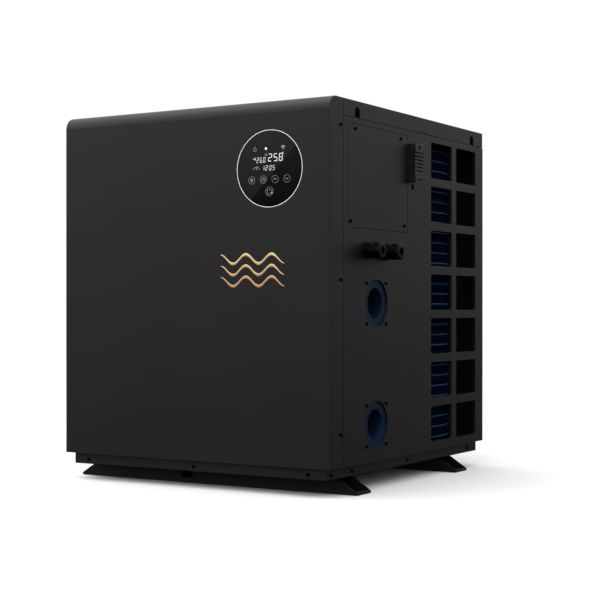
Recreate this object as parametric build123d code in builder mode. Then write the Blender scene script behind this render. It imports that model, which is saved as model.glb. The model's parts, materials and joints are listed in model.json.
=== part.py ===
from build123d import *
import os
from math import cos, pi, sin

os.makedirs("parts", exist_ok=True)

# Swimming pool heat pump with a closed front, coil windows at the sides and rear, and a fan in the lid.
# Millimetres. X to the right, Y to the back, Z up. The origin is on the floor, in the middle of the four
# foot slots.

# ---- Driving dimensions ----
cabinet_width = 500
cabinet_depth = 545
cabinet_bottom = 43
cabinet_top = 591
front_y = -262.5
sheet = 1.2
bend = 1.2
seam = 1
fit_gap = 0.1
tight_gap = 0.05
hex_sides = 6
lap_gap = 0.3
corner_round = 2
edge_round = 1
cover_depth = 40.5
lid_drop = 25.4

half_width = cabinet_width / 2
rear_y = front_y + cabinet_depth
cover_end = front_y + cover_depth - seam / 2
panel_start = front_y + cover_depth + seam / 2
lid_edge = cabinet_top - lid_drop
panel_top = lid_edge - seam

# ---- Walls to draw on: local axes are (Y, Z) on the right, (X, Z) in front, (-X, Z) at the rear ----
right_wall = Plane(origin=(half_width, 0, 0), x_dir=(0, 1, 0), z_dir=(1, 0, 0))
front_wall = Plane(origin=(0, front_y, 0), x_dir=(1, 0, 0), z_dir=(0, -1, 0))
rear_wall = Plane(origin=(0, rear_y, 0), x_dir=(-1, 0, 0), z_dir=(0, 1, 0))
lid_top = Plane.XY.offset(cabinet_top)

ON_FACE = (Align.CENTER, Align.CENTER, Align.MIN)
BELOW_FACE = (Align.CENTER, Align.CENTER, Align.MAX)

# ---- Screws ----
screw_hole = 1.7
shank_radius = 1.55
shank_length = 8
head_radius = 2.7
head_height = 1.8
head_round = 0.9
drive_length = 3.2
drive_width = 0.9
drive_depth = 1.2

with BuildPart() as panel_screw:
    Cylinder(head_radius, head_height, align=ON_FACE)
    fillet(panel_screw.faces().sort_by(Axis.Z)[-1].edges(), head_round)
    with BuildSketch(Plane.XY.offset(head_height)):
        Rectangle(drive_length, drive_width)
        Rectangle(drive_width, drive_length)
    extrude(amount=-drive_depth, mode=Mode.SUBTRACT)
    Cylinder(shank_radius, shank_length, align=BELOW_FACE)


def screw_group(wall, spots):
    """Identical panel screws, one at each spot of a wall."""
    with BuildPart(wall) as group:
        with Locations(*spots):
            add(panel_screw.part)
    return group


# ---- Where the panel screws go, as (distance back, height) or (across, height) ----
def from_front(distance):
    return front_y + distance


cover_spots = [(from_front(32.5), z) for z in (92.3, 321, 550)]
lid_spots = [(from_front(y), 573.2) for y in (83.2, 497.2)]
pan_side_spots = [(from_front(y), 32.7) for y in (23.2, 85.2, 269.2, 502.1)]
pan_front_spots = [(-210, 32.7), (0, 32.7), (207, 32.7)]
rear_spots = [(x, z) for x in (-224, 224) for z in (80, 304, 540)]
service_spots = [
    (from_front(77), 548.8),
    (from_front(226.2), 548.4),
    (from_front(61.9), 409),
    (from_front(238.3), 410.4),
]

# ---- Front cover: one bent sheet with a rolled top edge ----
roll_radius = 20
cover_return = 9.5
display_x = 145.7
display_z = 487.6
display_hole = 58.5
cover_height = cabinet_top - cabinet_bottom
cover_mid_z = (cabinet_top + cabinet_bottom) / 2

with BuildPart() as front_cover:
    with BuildSketch(Plane.YZ) as outer_section:
        with Locations((front_y, cover_mid_z)):
            Rectangle(cover_end - front_y, cover_height, align=(Align.MIN, Align.CENTER))
        fillet(outer_section.vertices().group_by(Axis.X)[0].sort_by(Axis.Y)[-1], roll_radius)
    extrude(amount=half_width, both=True)
    side_edges = front_cover.edges().group_by(Axis.X)
    rim = [e for e in side_edges[0] + side_edges[-1] if e.center().Y < cover_end - 1]
    fillet([e for e in rim if e.center().Z > cabinet_bottom + 1], bend)
    with BuildSketch(Plane.YZ) as inner_section:
        with Locations((front_y + sheet, cover_mid_z)):
            Rectangle(cover_depth, cover_height - 2 * sheet, align=(Align.MIN, Align.CENTER))
        fillet(inner_section.vertices().group_by(Axis.X)[0].sort_by(Axis.Y)[-1], roll_radius - sheet)
    extrude(amount=half_width - sheet, both=True, mode=Mode.SUBTRACT)
    with Locations((0, front_y + cover_return, cabinet_bottom)):
        Box(
            cabinet_width - 2 * sheet,
            cover_depth,
            3 * sheet,
            align=(Align.CENTER, Align.MIN, Align.CENTER),
            mode=Mode.SUBTRACT,
        )
    with BuildSketch(front_wall):
        with Locations((display_x, display_z)):
            Circle(display_hole)
    extrude(amount=-3 * sheet, mode=Mode.SUBTRACT)
    with BuildSketch(right_wall):
        with Locations(*cover_spots):
            Circle(screw_hole)
    extrude(amount=-cabinet_width, mode=Mode.SUBTRACT)

front_cover.part.label = "front_cover"
export_step(front_cover.part, "parts/front_cover.step")

# ---- Top lid: flat tray turned down at the sides and rear, with the fan opening ----
fan_x = 0
fan_y = 110
lid_opening = 126
arch_radius = 7.6
arch_height = 16
guard_bolt_circle = 137
guard_bolt_angle = 45
guard_bolt_count = 4
lid_front_web = 10
lid_notch_y = from_front(307)
lid_notch = (26, 3)

with BuildPart() as top_lid:
    with BuildSketch(Plane.XY.offset(lid_edge)):
        with Locations((0, panel_start)):
            Rectangle(cabinet_width, rear_y - panel_start, align=(Align.CENTER, Align.MIN))
    extrude(amount=lid_drop)
    fillet(top_lid.edges().filter_by(Axis.Z).group_by(Axis.Y)[-1], corner_round)
    top_rim = top_lid.faces().sort_by(Axis.Z)[-1].edges()
    fillet([e for e in top_rim if e.center().Y > panel_start + 1], bend)
    with BuildSketch(Plane.XY.offset(lid_edge)):
        with Locations((0, panel_start + sheet)):
            Rectangle(
                cabinet_width - 2 * sheet,
                rear_y - panel_start - 2 * sheet,
                align=(Align.CENTER, Align.MIN),
            )
    extrude(amount=lid_drop - sheet, mode=Mode.SUBTRACT)
    with Locations((0, panel_start, lid_edge)):
        Box(
            cabinet_width - 2 * sheet,
            4 * sheet,
            lid_drop - lid_front_web,
            align=(Align.CENTER, Align.CENTER, Align.MIN),
            mode=Mode.SUBTRACT,
        )
    with BuildSketch(right_wall):
        for place, height in lid_spots:
            with Locations((place, lid_edge + arch_height - arch_radius)):
                Circle(arch_radius)
            with Locations((place, lid_edge - 1)):
                Rectangle(
                    2 * arch_radius,
                    arch_height - arch_radius + 1,
                    align=(Align.CENTER, Align.MIN),
                )
    extrude(amount=-cabinet_width, mode=Mode.SUBTRACT)
    with BuildSketch(right_wall):
        with Locations((lid_notch_y, lid_edge)):
            Rectangle(*lid_notch)
    extrude(amount=-2 * sheet, mode=Mode.SUBTRACT)
    with BuildSketch(lid_top):
        with Locations((fan_x, fan_y)):
            Circle(lid_opening)
            with PolarLocations(guard_bolt_circle, guard_bolt_count, start_angle=guard_bolt_angle):
                Circle(screw_hole)
    extrude(amount=-2 * sheet, mode=Mode.SUBTRACT)

top_lid.part.label = "top_lid"
export_step(top_lid.part, "parts/top_lid.step")

# ---- Coil windows: an even field of rounded openings with a short inward flange ----
window_width = 80
window_height = 59
window_pitch_y = 98
window_pitch_z = 73
window_rows = 7
side_columns = 2
rear_columns = 3
window_radius = 3
window_flange = 4
window_mid_z = 305.8
side_window_mid_y = from_front(424.5)


def window_shapes(mid, columns, margin=0):
    """The outlines of a field of windows, drawn flat, each larger by a margin all round."""
    with BuildSketch() as field:
        with Locations(mid):
            with GridLocations(window_pitch_y, window_pitch_z, columns, window_rows):
                RectangleRounded(
                    window_width + 2 * margin,
                    window_height + 2 * margin,
                    window_radius + margin,
                )
    return field.sketch


side_windows = window_shapes((side_window_mid_y, window_mid_z), side_columns)
side_window_rims = window_shapes((side_window_mid_y, window_mid_z), side_columns, sheet)
rear_windows = window_shapes((0, window_mid_z), rear_columns)
rear_window_rims = window_shapes((0, window_mid_z), rear_columns, sheet)

# ---- Side panels: flat sheets with returns, tucked under the lid's flange ----
panel_return = 10.4
lip_height = 16
foot_return = 10.2
service_mid = (from_front(153), 478)
service_plate = (192, 155.2)
service_plate_radius = 3
service_cut = (service_plate[0] + 2 * seam, service_plate[1] + 2 * seam)
service_frame = (204, 167)
service_frame_radius = 8
service_opening = (158, 128)
service_opening_radius = 4
port_y = from_front(144)
inlet_z = 99
outlet_z = 286
port_hole = 37.2
port_bolt_offset = 31.2
gland_y = [from_front(112.3), from_front(173.9)]
gland_z = 366.5
gland_thread = 10
sensor_y = from_front(267.6)
probe_hole_y = from_front(267.2)
probe_hole_z = 475
probe_hole = 4.8
sensor_bolt_z = 538
port_bolt_spots = [
    (port_y + dy * port_bolt_offset, z + dz * port_bolt_offset)
    for z in (inlet_z, outlet_z)
    for dy in (-1, 1)
    for dz in (-1, 1)
]


# The plain right-hand sheet: front, rear and bottom returns, a lip under the lid's flange, and windows.
with BuildPart() as side_blank:
    with BuildSketch(right_wall):
        with Locations((panel_start, cabinet_bottom)):
            Rectangle(
                rear_y - panel_start,
                panel_top - cabinet_bottom,
                align=(Align.MIN, Align.MIN),
            )
    extrude(amount=-sheet)
    with BuildSketch(right_wall):
        with Locations((panel_start, cabinet_bottom)):
            Rectangle(sheet, panel_top - cabinet_bottom, align=(Align.MIN, Align.MIN))
        with Locations((rear_y, cabinet_bottom)):
            Rectangle(sheet, panel_top - cabinet_bottom, align=(Align.MAX, Align.MIN))
    extrude(amount=-panel_return)
    with BuildSketch(right_wall):
        with Locations((panel_start, cabinet_bottom)):
            Rectangle(rear_y - panel_start, sheet, align=(Align.MIN, Align.MIN))
    extrude(amount=-foot_return)
    with BuildSketch(right_wall.offset(-sheet)):
        with Locations((panel_start + 3 * sheet, panel_top - 2 * sheet)):
            Rectangle(
                rear_y - panel_start - 6 * sheet,
                lip_height + 2 * sheet,
                align=(Align.MIN, Align.MIN),
            )
    extrude(amount=-2 * sheet)
    with BuildSketch(right_wall.offset(-sheet)):
        with Locations((panel_start + 3 * sheet, panel_top)):
            Rectangle(
                rear_y - panel_start - 6 * sheet,
                lip_height + sheet,
                align=(Align.MIN, Align.MIN),
            )
    extrude(amount=-lap_gap, mode=Mode.SUBTRACT)
    with BuildSketch(right_wall):
        with Locations(*lid_spots):
            Circle(screw_hole)
    extrude(amount=-5 * sheet, mode=Mode.SUBTRACT)
    with BuildSketch(right_wall):
        add(side_windows)
    extrude(amount=-3 * sheet, mode=Mode.SUBTRACT)
    with BuildSketch(right_wall.offset(-sheet)):
        add(side_window_rims)
        add(side_windows, mode=Mode.SUBTRACT)
    extrude(amount=-window_flange)

# The right-hand sheet adds the connections, and a frame that carries the service cover flush in it.
with BuildPart() as right_side_panel:
    add(side_blank.part)
    with BuildSketch(right_wall):
        with Locations(service_mid):
            RectangleRounded(*service_cut, service_plate_radius + seam)
        with Locations(*port_bolt_spots, (sensor_y, sensor_bolt_z)):
            Circle(screw_hole)
        with Locations((port_y, inlet_z), (port_y, outlet_z)):
            Circle(port_hole)
        with Locations(*[(y, gland_z) for y in gland_y]):
            Circle(gland_thread + fit_gap)
        with Locations((probe_hole_y, probe_hole_z)):
            Circle(probe_hole)
    extrude(amount=-2 * sheet, mode=Mode.SUBTRACT)
    with BuildSketch(right_wall.offset(-sheet)):
        with Locations(service_mid):
            RectangleRounded(*service_frame, service_frame_radius)
            RectangleRounded(*service_opening, service_opening_radius, mode=Mode.SUBTRACT)
        with Locations(*service_spots):
            Circle(screw_hole, mode=Mode.SUBTRACT)
    extrude(amount=-sheet)

right_side_panel.part.label = "right_side_panel"
export_step(right_side_panel.part, "parts/right_side_panel.step")

with BuildPart() as left_side_panel:
    add(side_blank.part)
    mirror(about=Plane.YZ, mode=Mode.REPLACE)

left_side_panel.part.label = "left_side_panel"
export_step(left_side_panel.part, "parts/left_side_panel.step")

# ---- Rear panel: fills the space between the side panels' rear returns ----
rear_width = cabinet_width - 2 * panel_return - 2 * seam

with BuildPart() as rear_panel:
    with BuildSketch(rear_wall):
        with Locations((0, cabinet_bottom)):
            Rectangle(rear_width, panel_top - cabinet_bottom, align=(Align.CENTER, Align.MIN))
    extrude(amount=-sheet)
    with BuildSketch(rear_wall.offset(-sheet)):
        with Locations((0, panel_top - 2 * sheet)):
            Rectangle(rear_width, lip_height + 2 * sheet, align=(Align.CENTER, Align.MIN))
    extrude(amount=-sheet)
    with BuildSketch(rear_wall.offset(-sheet)):
        with Locations((0, panel_top)):
            Rectangle(rear_width, lip_height + sheet, align=(Align.CENTER, Align.MIN))
    extrude(amount=-lap_gap, mode=Mode.SUBTRACT)
    with BuildSketch(rear_wall):
        add(rear_windows)
    extrude(amount=-3 * sheet, mode=Mode.SUBTRACT)
    with BuildSketch(rear_wall.offset(-sheet)):
        add(rear_window_rims)
        add(rear_windows, mode=Mode.SUBTRACT)
    extrude(amount=-window_flange)
    with BuildSketch(rear_wall):
        with Locations(*rear_spots):
            Circle(screw_hole)
    extrude(amount=-2 * sheet, mode=Mode.SUBTRACT)

rear_panel.part.label = "rear_panel"
export_step(rear_panel.part, "parts/rear_panel.step")

# ---- Service cover over the wiring compartment, flush with the side sheet ----
service_cover_round = 0.3

with BuildPart() as service_cover:
    with BuildSketch(right_wall):
        with Locations(service_mid):
            RectangleRounded(*service_plate, service_plate_radius)
        with Locations(*service_spots):
            Circle(screw_hole, mode=Mode.SUBTRACT)
    extrude(amount=-sheet)
    fillet(service_cover.faces().sort_by(Axis.X)[-1].outer_wire().edges(), service_cover_round)

service_cover.part.label = "service_cover"
export_step(service_cover.part, "parts/service_cover.step")

# ---- Base pan: a tray that stands back under the cabinet and catches the condensate ----
pan_half_width = 239.4
pan_front = from_front(10)
pan_rear = from_front(540)
pan_bottom = 25
pan_wall_top = 54
pan_floor = pan_bottom + sheet
pan_corner_seam = 43.4
pan_seam_height = 24
drain_x = 120
drain_y = 200
drain_hole = 9
rail_bolt_x = 150
rail_depth = 43.8
rail_front_y = from_front(58.2)
rail_rear_y = from_front(404.2)
rail_mid_y = [start + rail_depth / 2 for start in (rail_front_y, rail_rear_y)]
rail_bolt_spots = [(x, y) for x in (-rail_bolt_x, rail_bolt_x) for y in rail_mid_y]
rail_bolt_radius = 3
compressor_x = -60
compressor_y = -135
stud_circle = 82
leg_count = 3
first_leg_angle = 90
leg_angles = [first_leg_angle + 360 / leg_count * k for k in range(leg_count)]
stud_radius = 4

with BuildPart() as base_pan:
    with BuildSketch(Plane.XY.offset(pan_bottom)):
        with Locations((0, pan_front)):
            Rectangle(2 * pan_half_width, pan_rear - pan_front, align=(Align.CENTER, Align.MIN))
    extrude(amount=pan_wall_top - pan_bottom)
    fillet(base_pan.edges().filter_by(Axis.Z), corner_round)
    fillet(base_pan.faces().sort_by(Axis.Z)[0].edges(), bend)
    with BuildSketch(Plane.XY.offset(pan_floor)):
        with Locations((0, pan_front + sheet)):
            Rectangle(
                2 * (pan_half_width - sheet),
                pan_rear - pan_front - 2 * sheet,
                align=(Align.CENTER, Align.MIN),
            )
    extrude(amount=pan_wall_top - pan_floor, mode=Mode.SUBTRACT)
    with BuildSketch(Plane.XY.offset(pan_floor)):
        with Locations((drain_x, drain_y)):
            Circle(drain_hole)
        with Locations(*rail_bolt_spots):
            Circle(rail_bolt_radius + fit_gap)
        with Locations((compressor_x, compressor_y)):
            with PolarLocations(stud_circle, leg_count, start_angle=first_leg_angle):
                Circle(stud_radius + fit_gap)
    extrude(amount=-2 * sheet, mode=Mode.SUBTRACT)
    with BuildSketch(right_wall):
        with Locations(*pan_side_spots):
            Circle(screw_hole)
    extrude(amount=-cabinet_width, mode=Mode.SUBTRACT)
    with BuildSketch(front_wall):
        with Locations(*pan_front_spots):
            Circle(screw_hole)
    extrude(amount=-rail_depth, mode=Mode.SUBTRACT)
    for x in (-pan_half_width, pan_half_width):
        with Locations((x, from_front(pan_corner_seam), pan_bottom)):
            Box(sheet, seam, pan_seam_height, align=ON_FACE, mode=Mode.SUBTRACT)

base_pan.part.label = "base_pan"
export_step(base_pan.part, "parts/base_pan.step")

# ---- Foot rails: lipped channels across the cabinet with slanted open ends ----
rail_half_length = 263
rail_top_half_length = 229
rail_lip = 3.5
rail_sheet = 1.5
rail_split = 16.3
rail_split_width = 5
foot_slot_x = 200
foot_slot_y = 31.3
foot_slot_radius = 5
foot_slot_length = 20
rail_edge_round = 1
cable_window_mid = (-48, 15)
cable_window = (22, 13)


def foot_rail(start_y, window):
    """A rail that begins at start_y, with or without the cable window in its front wall."""
    face = Plane(origin=(0, start_y, 0), x_dir=(1, 0, 0), z_dir=(0, -1, 0))
    with BuildPart() as rail:
        with BuildSketch(face):
            with BuildLine():
                Polyline(
                    (-rail_half_length, 0),
                    (rail_half_length, 0),
                    (rail_half_length, rail_lip),
                    (rail_top_half_length, pan_bottom),
                    (-rail_top_half_length, pan_bottom),
                    (-rail_half_length, rail_lip),
                    close=True,
                )
            make_face()
        extrude(amount=-rail_depth)
        fillet(rail.edges().filter_by(Axis.X).group_by(Axis.Z)[0], rail_edge_round)
        with Locations((0, start_y + rail_sheet, rail_sheet)):
            Box(
                2 * (rail_half_length - rail_sheet),
                rail_depth - 2 * rail_sheet,
                pan_bottom - 2 * rail_sheet,
                align=(Align.CENTER, Align.MIN, Align.MIN),
                mode=Mode.SUBTRACT,
            )
        with Locations((0, start_y + rail_split, 0)):
            Box(
                2 * rail_half_length,
                rail_split_width,
                2 * rail_sheet,
                mode=Mode.SUBTRACT,
            )
        with BuildSketch():
            with Locations((-foot_slot_x, start_y + foot_slot_y), (foot_slot_x, start_y + foot_slot_y)):
                SlotOverall(foot_slot_length, 2 * foot_slot_radius)
        extrude(amount=rail_sheet, mode=Mode.SUBTRACT)
        with BuildSketch(Plane.XY.offset(pan_bottom)):
            for x in (-rail_bolt_x, rail_bolt_x):
                with Locations((x, start_y + rail_depth / 2)):
                    Circle(rail_bolt_radius + fit_gap)
        extrude(amount=-2 * rail_sheet, mode=Mode.SUBTRACT)
        if window:
            with BuildSketch(face):
                with Locations(cable_window_mid):
                    Rectangle(*cable_window)
            extrude(amount=-2 * rail_sheet, mode=Mode.SUBTRACT)
    return rail


front_foot_rail = foot_rail(rail_front_y, True)
front_foot_rail.part.label = "front_foot_rail"
export_step(front_foot_rail.part, "parts/front_foot_rail.step")

rear_foot_rail = foot_rail(rail_rear_y, False)
rear_foot_rail.part.label = "rear_foot_rail"
export_step(rear_foot_rail.part, "parts/rear_foot_rail.step")

# ---- Rail bolts with their nuts, through the pan into the rails ----
nut_height = 4
nut_corner = 5.6
bolt_head_height = 3.5
bolt_length = 12
rail_top_inside = pan_bottom - rail_sheet

with BuildPart() as rail_bolts:
    with BuildSketch(Plane.XY.offset(pan_floor)):
        with Locations(*rail_bolt_spots):
            RegularPolygon(nut_corner, hex_sides)
    extrude(amount=bolt_head_height)
    with BuildSketch(Plane.XY.offset(pan_floor)):
        with Locations(*rail_bolt_spots):
            Circle(rail_bolt_radius)
    extrude(amount=-bolt_length)
    with BuildSketch(Plane.XY.offset(rail_top_inside)):
        with Locations(*rail_bolt_spots):
            RegularPolygon(nut_corner, hex_sides)
            Circle(rail_bolt_radius + tight_gap, mode=Mode.SUBTRACT)
    extrude(amount=-nut_height)

rail_bolts.part.label = "rail_bolts"
export_step(rail_bolts.part, "parts/rail_bolts.step")

# ---- Condensate drain spout under the pan ----
drain_spout_radius = 8
drain_spout_bore = 6
drain_spout_length = 22
drain_lip_radius = 13
drain_lip = 2

with BuildPart() as drain_spout:
    with BuildSketch(Plane.XY.offset(pan_floor)):
        with Locations((drain_x, drain_y)):
            Circle(drain_lip_radius)
    extrude(amount=drain_lip)
    with BuildSketch(Plane.XY.offset(pan_floor)):
        with Locations((drain_x, drain_y)):
            Circle(drain_spout_radius)
    extrude(amount=-drain_spout_length)
    with BuildSketch(Plane.XY.offset(pan_floor + drain_lip)):
        with Locations((drain_x, drain_y)):
            Circle(drain_spout_bore)
    extrude(amount=-drain_spout_length - drain_lip, mode=Mode.SUBTRACT)

drain_spout.part.label = "drain_spout"
export_step(drain_spout.part, "parts/drain_spout.step")

# ---- Water collars: blue flanges behind the side sheet, with the sockets for the pool pipes ----
collar_face = sheet
collar_radius = 50
collar_thickness = 6
collar_recess = 1.5
socket_radius = 23.9
socket_depth = 27
hub_radius = 29
hub_length = collar_recess + socket_depth
pipe_outer = 20
pipe_bore = 16


def water_collar(height):
    """The flange, hub and plain socket of one water connection."""
    face = right_wall.offset(-collar_face)
    with BuildPart() as collar:
        with BuildSketch(face):
            with Locations((port_y, height)):
                Circle(collar_radius)
        extrude(amount=-collar_thickness)
        with BuildSketch(face):
            with Locations((port_y, height)):
                Circle(hub_radius)
        extrude(amount=-hub_length)
        with BuildSketch(face):
            with Locations((port_y, height)):
                Circle(port_hole)
        extrude(amount=-collar_recess, mode=Mode.SUBTRACT)
        with BuildSketch(face):
            with Locations((port_y, height)):
                Circle(socket_radius)
                with GridLocations(2 * port_bolt_offset, 2 * port_bolt_offset, 2, 2):
                    Circle(screw_hole)
        extrude(amount=-hub_length, mode=Mode.SUBTRACT)
    return collar


water_inlet_collar = water_collar(inlet_z)
water_outlet_collar = water_collar(outlet_z)

with BuildPart() as water_collars:
    add(water_inlet_collar.part)
    add(water_outlet_collar.part)

water_collars.part.label = "water_collars"
export_step(water_collars.part, "parts/water_collars.step")

# ---- Cable glands: hexagonal bodies, domed caps, rubber seals and locknuts ----
gland_spots = [(y, gland_z) for y in gland_y]
gland_hex = 14.4
gland_flange = 8
gland_cap_start = 15.2
gland_cap_end = 28
gland_mouth = 6.2
gland_bore = 7.5
gland_insert = 4
gland_ridge = 1.4
grip_steps = (1, 3, 5)
grip_width = 1
gland_tail = 12
gland_length = gland_cap_end + gland_tail

with BuildPart() as gland_bodies:
    with BuildSketch(right_wall):
        with Locations(*gland_spots):
            RegularPolygon(gland_hex, hex_sides)
    extrude(amount=gland_flange)
    with BuildSketch(right_wall.offset(gland_flange)):
        with Locations(*gland_spots):
            Circle(gland_thread)
    extrude(amount=gland_cap_start - gland_flange + gland_insert)
    for ridge in grip_steps:
        with BuildSketch(right_wall.offset(gland_flange + ridge)):
            with Locations(*gland_spots):
                Circle(gland_thread + gland_ridge)
        extrude(amount=grip_width)
    with BuildSketch(right_wall):
        with Locations(*gland_spots):
            Circle(gland_thread)
    extrude(amount=-gland_tail)
    with BuildSketch(right_wall.offset(gland_cap_end)):
        with Locations(*gland_spots):
            Circle(gland_bore)
    extrude(amount=-gland_length, mode=Mode.SUBTRACT)

gland_bodies.part.label = "gland_bodies"
export_step(gland_bodies.part, "parts/gland_bodies.step")

cap_length = gland_cap_end - gland_cap_start
cap_radius = 14.1
cap_round = 5

with BuildPart() as cap_dome:
    Cylinder(cap_radius, cap_length, align=ON_FACE)
    fillet(cap_dome.faces().sort_by(Axis.Z)[-1].edges(), cap_round)

with BuildPart() as gland_cap:
    with BuildSketch():
        RegularPolygon(gland_hex, hex_sides)
    extrude(amount=cap_length)
    add(cap_dome.part, mode=Mode.INTERSECT)
    Cylinder(gland_mouth, cap_length, align=ON_FACE, mode=Mode.SUBTRACT)
    Cylinder(gland_thread + fit_gap, gland_insert + 2 * fit_gap, align=ON_FACE, mode=Mode.SUBTRACT)

with BuildPart(right_wall.offset(gland_cap_start)) as gland_caps:
    with Locations(*gland_spots):
        add(gland_cap.part)

gland_caps.part.label = "gland_caps"
export_step(gland_caps.part, "parts/gland_caps.step")

seal_length = 12

with BuildPart() as gland_seals:
    with BuildSketch(right_wall.offset(gland_cap_start + gland_insert + fit_gap)):
        with Locations(*gland_spots):
            Circle(gland_bore - 2 * fit_gap)
            Circle(gland_mouth, mode=Mode.SUBTRACT)
    extrude(amount=-seal_length)

gland_seals.part.label = "gland_seals"
export_step(gland_seals.part, "parts/gland_seals.step")

locknut_thickness = 5

with BuildPart() as gland_locknuts:
    with BuildSketch(right_wall.offset(-sheet)):
        with Locations(*gland_spots):
            RegularPolygon(gland_hex, hex_sides)
            Circle(gland_thread + tight_gap, mode=Mode.SUBTRACT)
    extrude(amount=-locknut_thickness)

gland_locknuts.part.label = "gland_locknuts"
export_step(gland_locknuts.part, "parts/gland_locknuts.step")

# ---- Air temperature sensor: louvred box on the side sheet, with its probe ----
sensor_width = 30.6
sensor_depth = 13
sensor_low = 487
sensor_high = 543.7
sensor_wall = 1.8
sensor_corner = 1.5
sensor_head = 8
louvre_pitch = 5.84
louvre_low = 500
louvre_count = 6
louvre_gap = 1.9
louvre_depth = 5
louvre_web = 3
sensor_groove = 0.7
sensor_recess = 4.1
sensor_mid_z = (sensor_low + sensor_high) / 2
sensor_start = sensor_y - sensor_width / 2
sensor_tail = [
    (sensor_start, sensor_low + 3),
    (sensor_start, sensor_low - 5),
    (sensor_start + 4, sensor_low - 6),
    (sensor_start + 11, sensor_low + 1),
]

with BuildPart() as sensor_box:
    with BuildSketch(right_wall):
        with Locations((sensor_y, sensor_mid_z)):
            RectangleRounded(sensor_width, sensor_high - sensor_low, sensor_corner)
        with BuildLine():
            Polyline(*sensor_tail, close=True)
        make_face()
    extrude(amount=sensor_depth)
    fillet(sensor_box.faces().sort_by(Axis.X)[-1].edges(), edge_round)
    with BuildSketch(right_wall.offset(sensor_wall)):
        with Locations((sensor_y, sensor_low + sensor_wall)):
            Rectangle(
                sensor_width - 2 * sensor_wall,
                sensor_high - sensor_low - sensor_head - 2 * sensor_wall,
                align=(Align.CENTER, Align.MIN),
            )
    extrude(amount=sensor_depth - 2 * sensor_wall, mode=Mode.SUBTRACT)
    for number in range(louvre_count):
        place = (half_width + sensor_depth, sensor_start, louvre_low + number * louvre_pitch)
        with Locations(place):
            Box(
                louvre_depth,
                sensor_width - louvre_web,
                louvre_gap,
                align=(Align.MAX, Align.MIN, Align.CENTER),
                mode=Mode.SUBTRACT,
            )
    with Locations((half_width + sensor_depth, sensor_y, sensor_low + sensor_groove / 2)):
        Box(edge_round, 2 * sensor_width, sensor_groove, mode=Mode.SUBTRACT)
    with BuildSketch(right_wall):
        with Locations((sensor_y, sensor_bolt_z)):
            Circle(screw_hole)
    extrude(amount=sensor_depth, mode=Mode.SUBTRACT)
    with BuildSketch(right_wall.offset(sensor_wall)):
        with Locations((sensor_y, sensor_bolt_z)):
            Circle(sensor_recess)
    extrude(amount=sensor_depth, mode=Mode.SUBTRACT)

sensor_box.part.label = "sensor_box"
export_step(sensor_box.part, "parts/sensor_box.step")

probe_radius = 2.5
probe_length = 28
probe_round = 2
probe_start = (half_width + sensor_wall + probe_radius + 1, sensor_y, sensor_low + 6)

with BuildPart() as sensor_probe:
    with Locations(probe_start):
        Cylinder(probe_radius, probe_length, align=ON_FACE)
    fillet(sensor_probe.faces().sort_by(Axis.Z)[-1].edges(), probe_round)

sensor_probe.part.label = "sensor_probe"
export_step(sensor_probe.part, "parts/sensor_probe.step")

# ---- Round display set into the front cover ----
ring_outer = 58.2
ring_inner = 57
ring_proud = 0.4
display_depth = 4
display_mid = (display_x, display_z)
glass_proud = 0.6
glass_thickness = 3.6
glass_round = 0.5
board_radius = 52
board_thickness = 1.6
board_set_back = 6
display_chip = (22, 16)
display_chip_height = 4
display_chip_spots = [(display_x - 18, display_z + 10), (display_x + 20, display_z - 12)]
housing_flange_radius = 66
housing_flange = 2
housing_radius = 60
housing_depth = 16
housing_bore = 54
housing_floor = 2

with BuildPart() as display_ring:
    with BuildSketch(front_wall.offset(ring_proud)):
        with Locations(display_mid):
            Circle(ring_outer)
            Circle(ring_inner, mode=Mode.SUBTRACT)
    extrude(amount=-display_depth - ring_proud)

display_ring.part.label = "display_ring"
export_step(display_ring.part, "parts/display_ring.step")

with BuildPart() as display_glass:
    with BuildSketch(front_wall.offset(glass_proud)):
        with Locations(display_mid):
            Circle(ring_inner - fit_gap)
    extrude(amount=-glass_thickness)
    fillet(display_glass.faces().sort_by(Axis.Y)[0].edges(), glass_round)

display_glass.part.label = "display_glass"
export_step(display_glass.part, "parts/display_glass.step")

with BuildPart() as display_board:
    with BuildSketch(front_wall.offset(-board_set_back)):
        with Locations(display_mid):
            Circle(board_radius)
    extrude(amount=-board_thickness)
    with BuildSketch(front_wall.offset(-board_set_back - board_thickness)):
        with Locations(*display_chip_spots):
            Rectangle(*display_chip)
    extrude(amount=-display_chip_height)

display_board.part.label = "display_board"
export_step(display_board.part, "parts/display_board.step")

with BuildPart() as display_housing:
    with BuildSketch(front_wall.offset(-sheet)):
        with Locations(display_mid):
            Circle(housing_flange_radius)
    extrude(amount=-housing_flange)
    with BuildSketch(front_wall.offset(-sheet)):
        with Locations(display_mid):
            Circle(housing_radius)
    extrude(amount=-housing_depth)
    with BuildSketch(front_wall.offset(-sheet)):
        with Locations(display_mid):
            Circle(ring_outer + fit_gap)
    extrude(amount=-display_depth + sheet, mode=Mode.SUBTRACT)
    with BuildSketch(front_wall.offset(-sheet)):
        with Locations(display_mid):
            Circle(housing_bore)
    extrude(amount=housing_floor - housing_depth, mode=Mode.SUBTRACT)

display_housing.part.label = "display_housing"
export_step(display_housing.part, "parts/display_housing.step")

# ---- Emblem: three plain wave strips on the front, below the display ----
wave_length = 46
wave_swing = 7
wave_count = 2.5
wave_height = 4.5
wave_spacing = 17
emblem_x = 115
emblem_z = 338
emblem_thickness = 0.3
crest_count = 6

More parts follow.
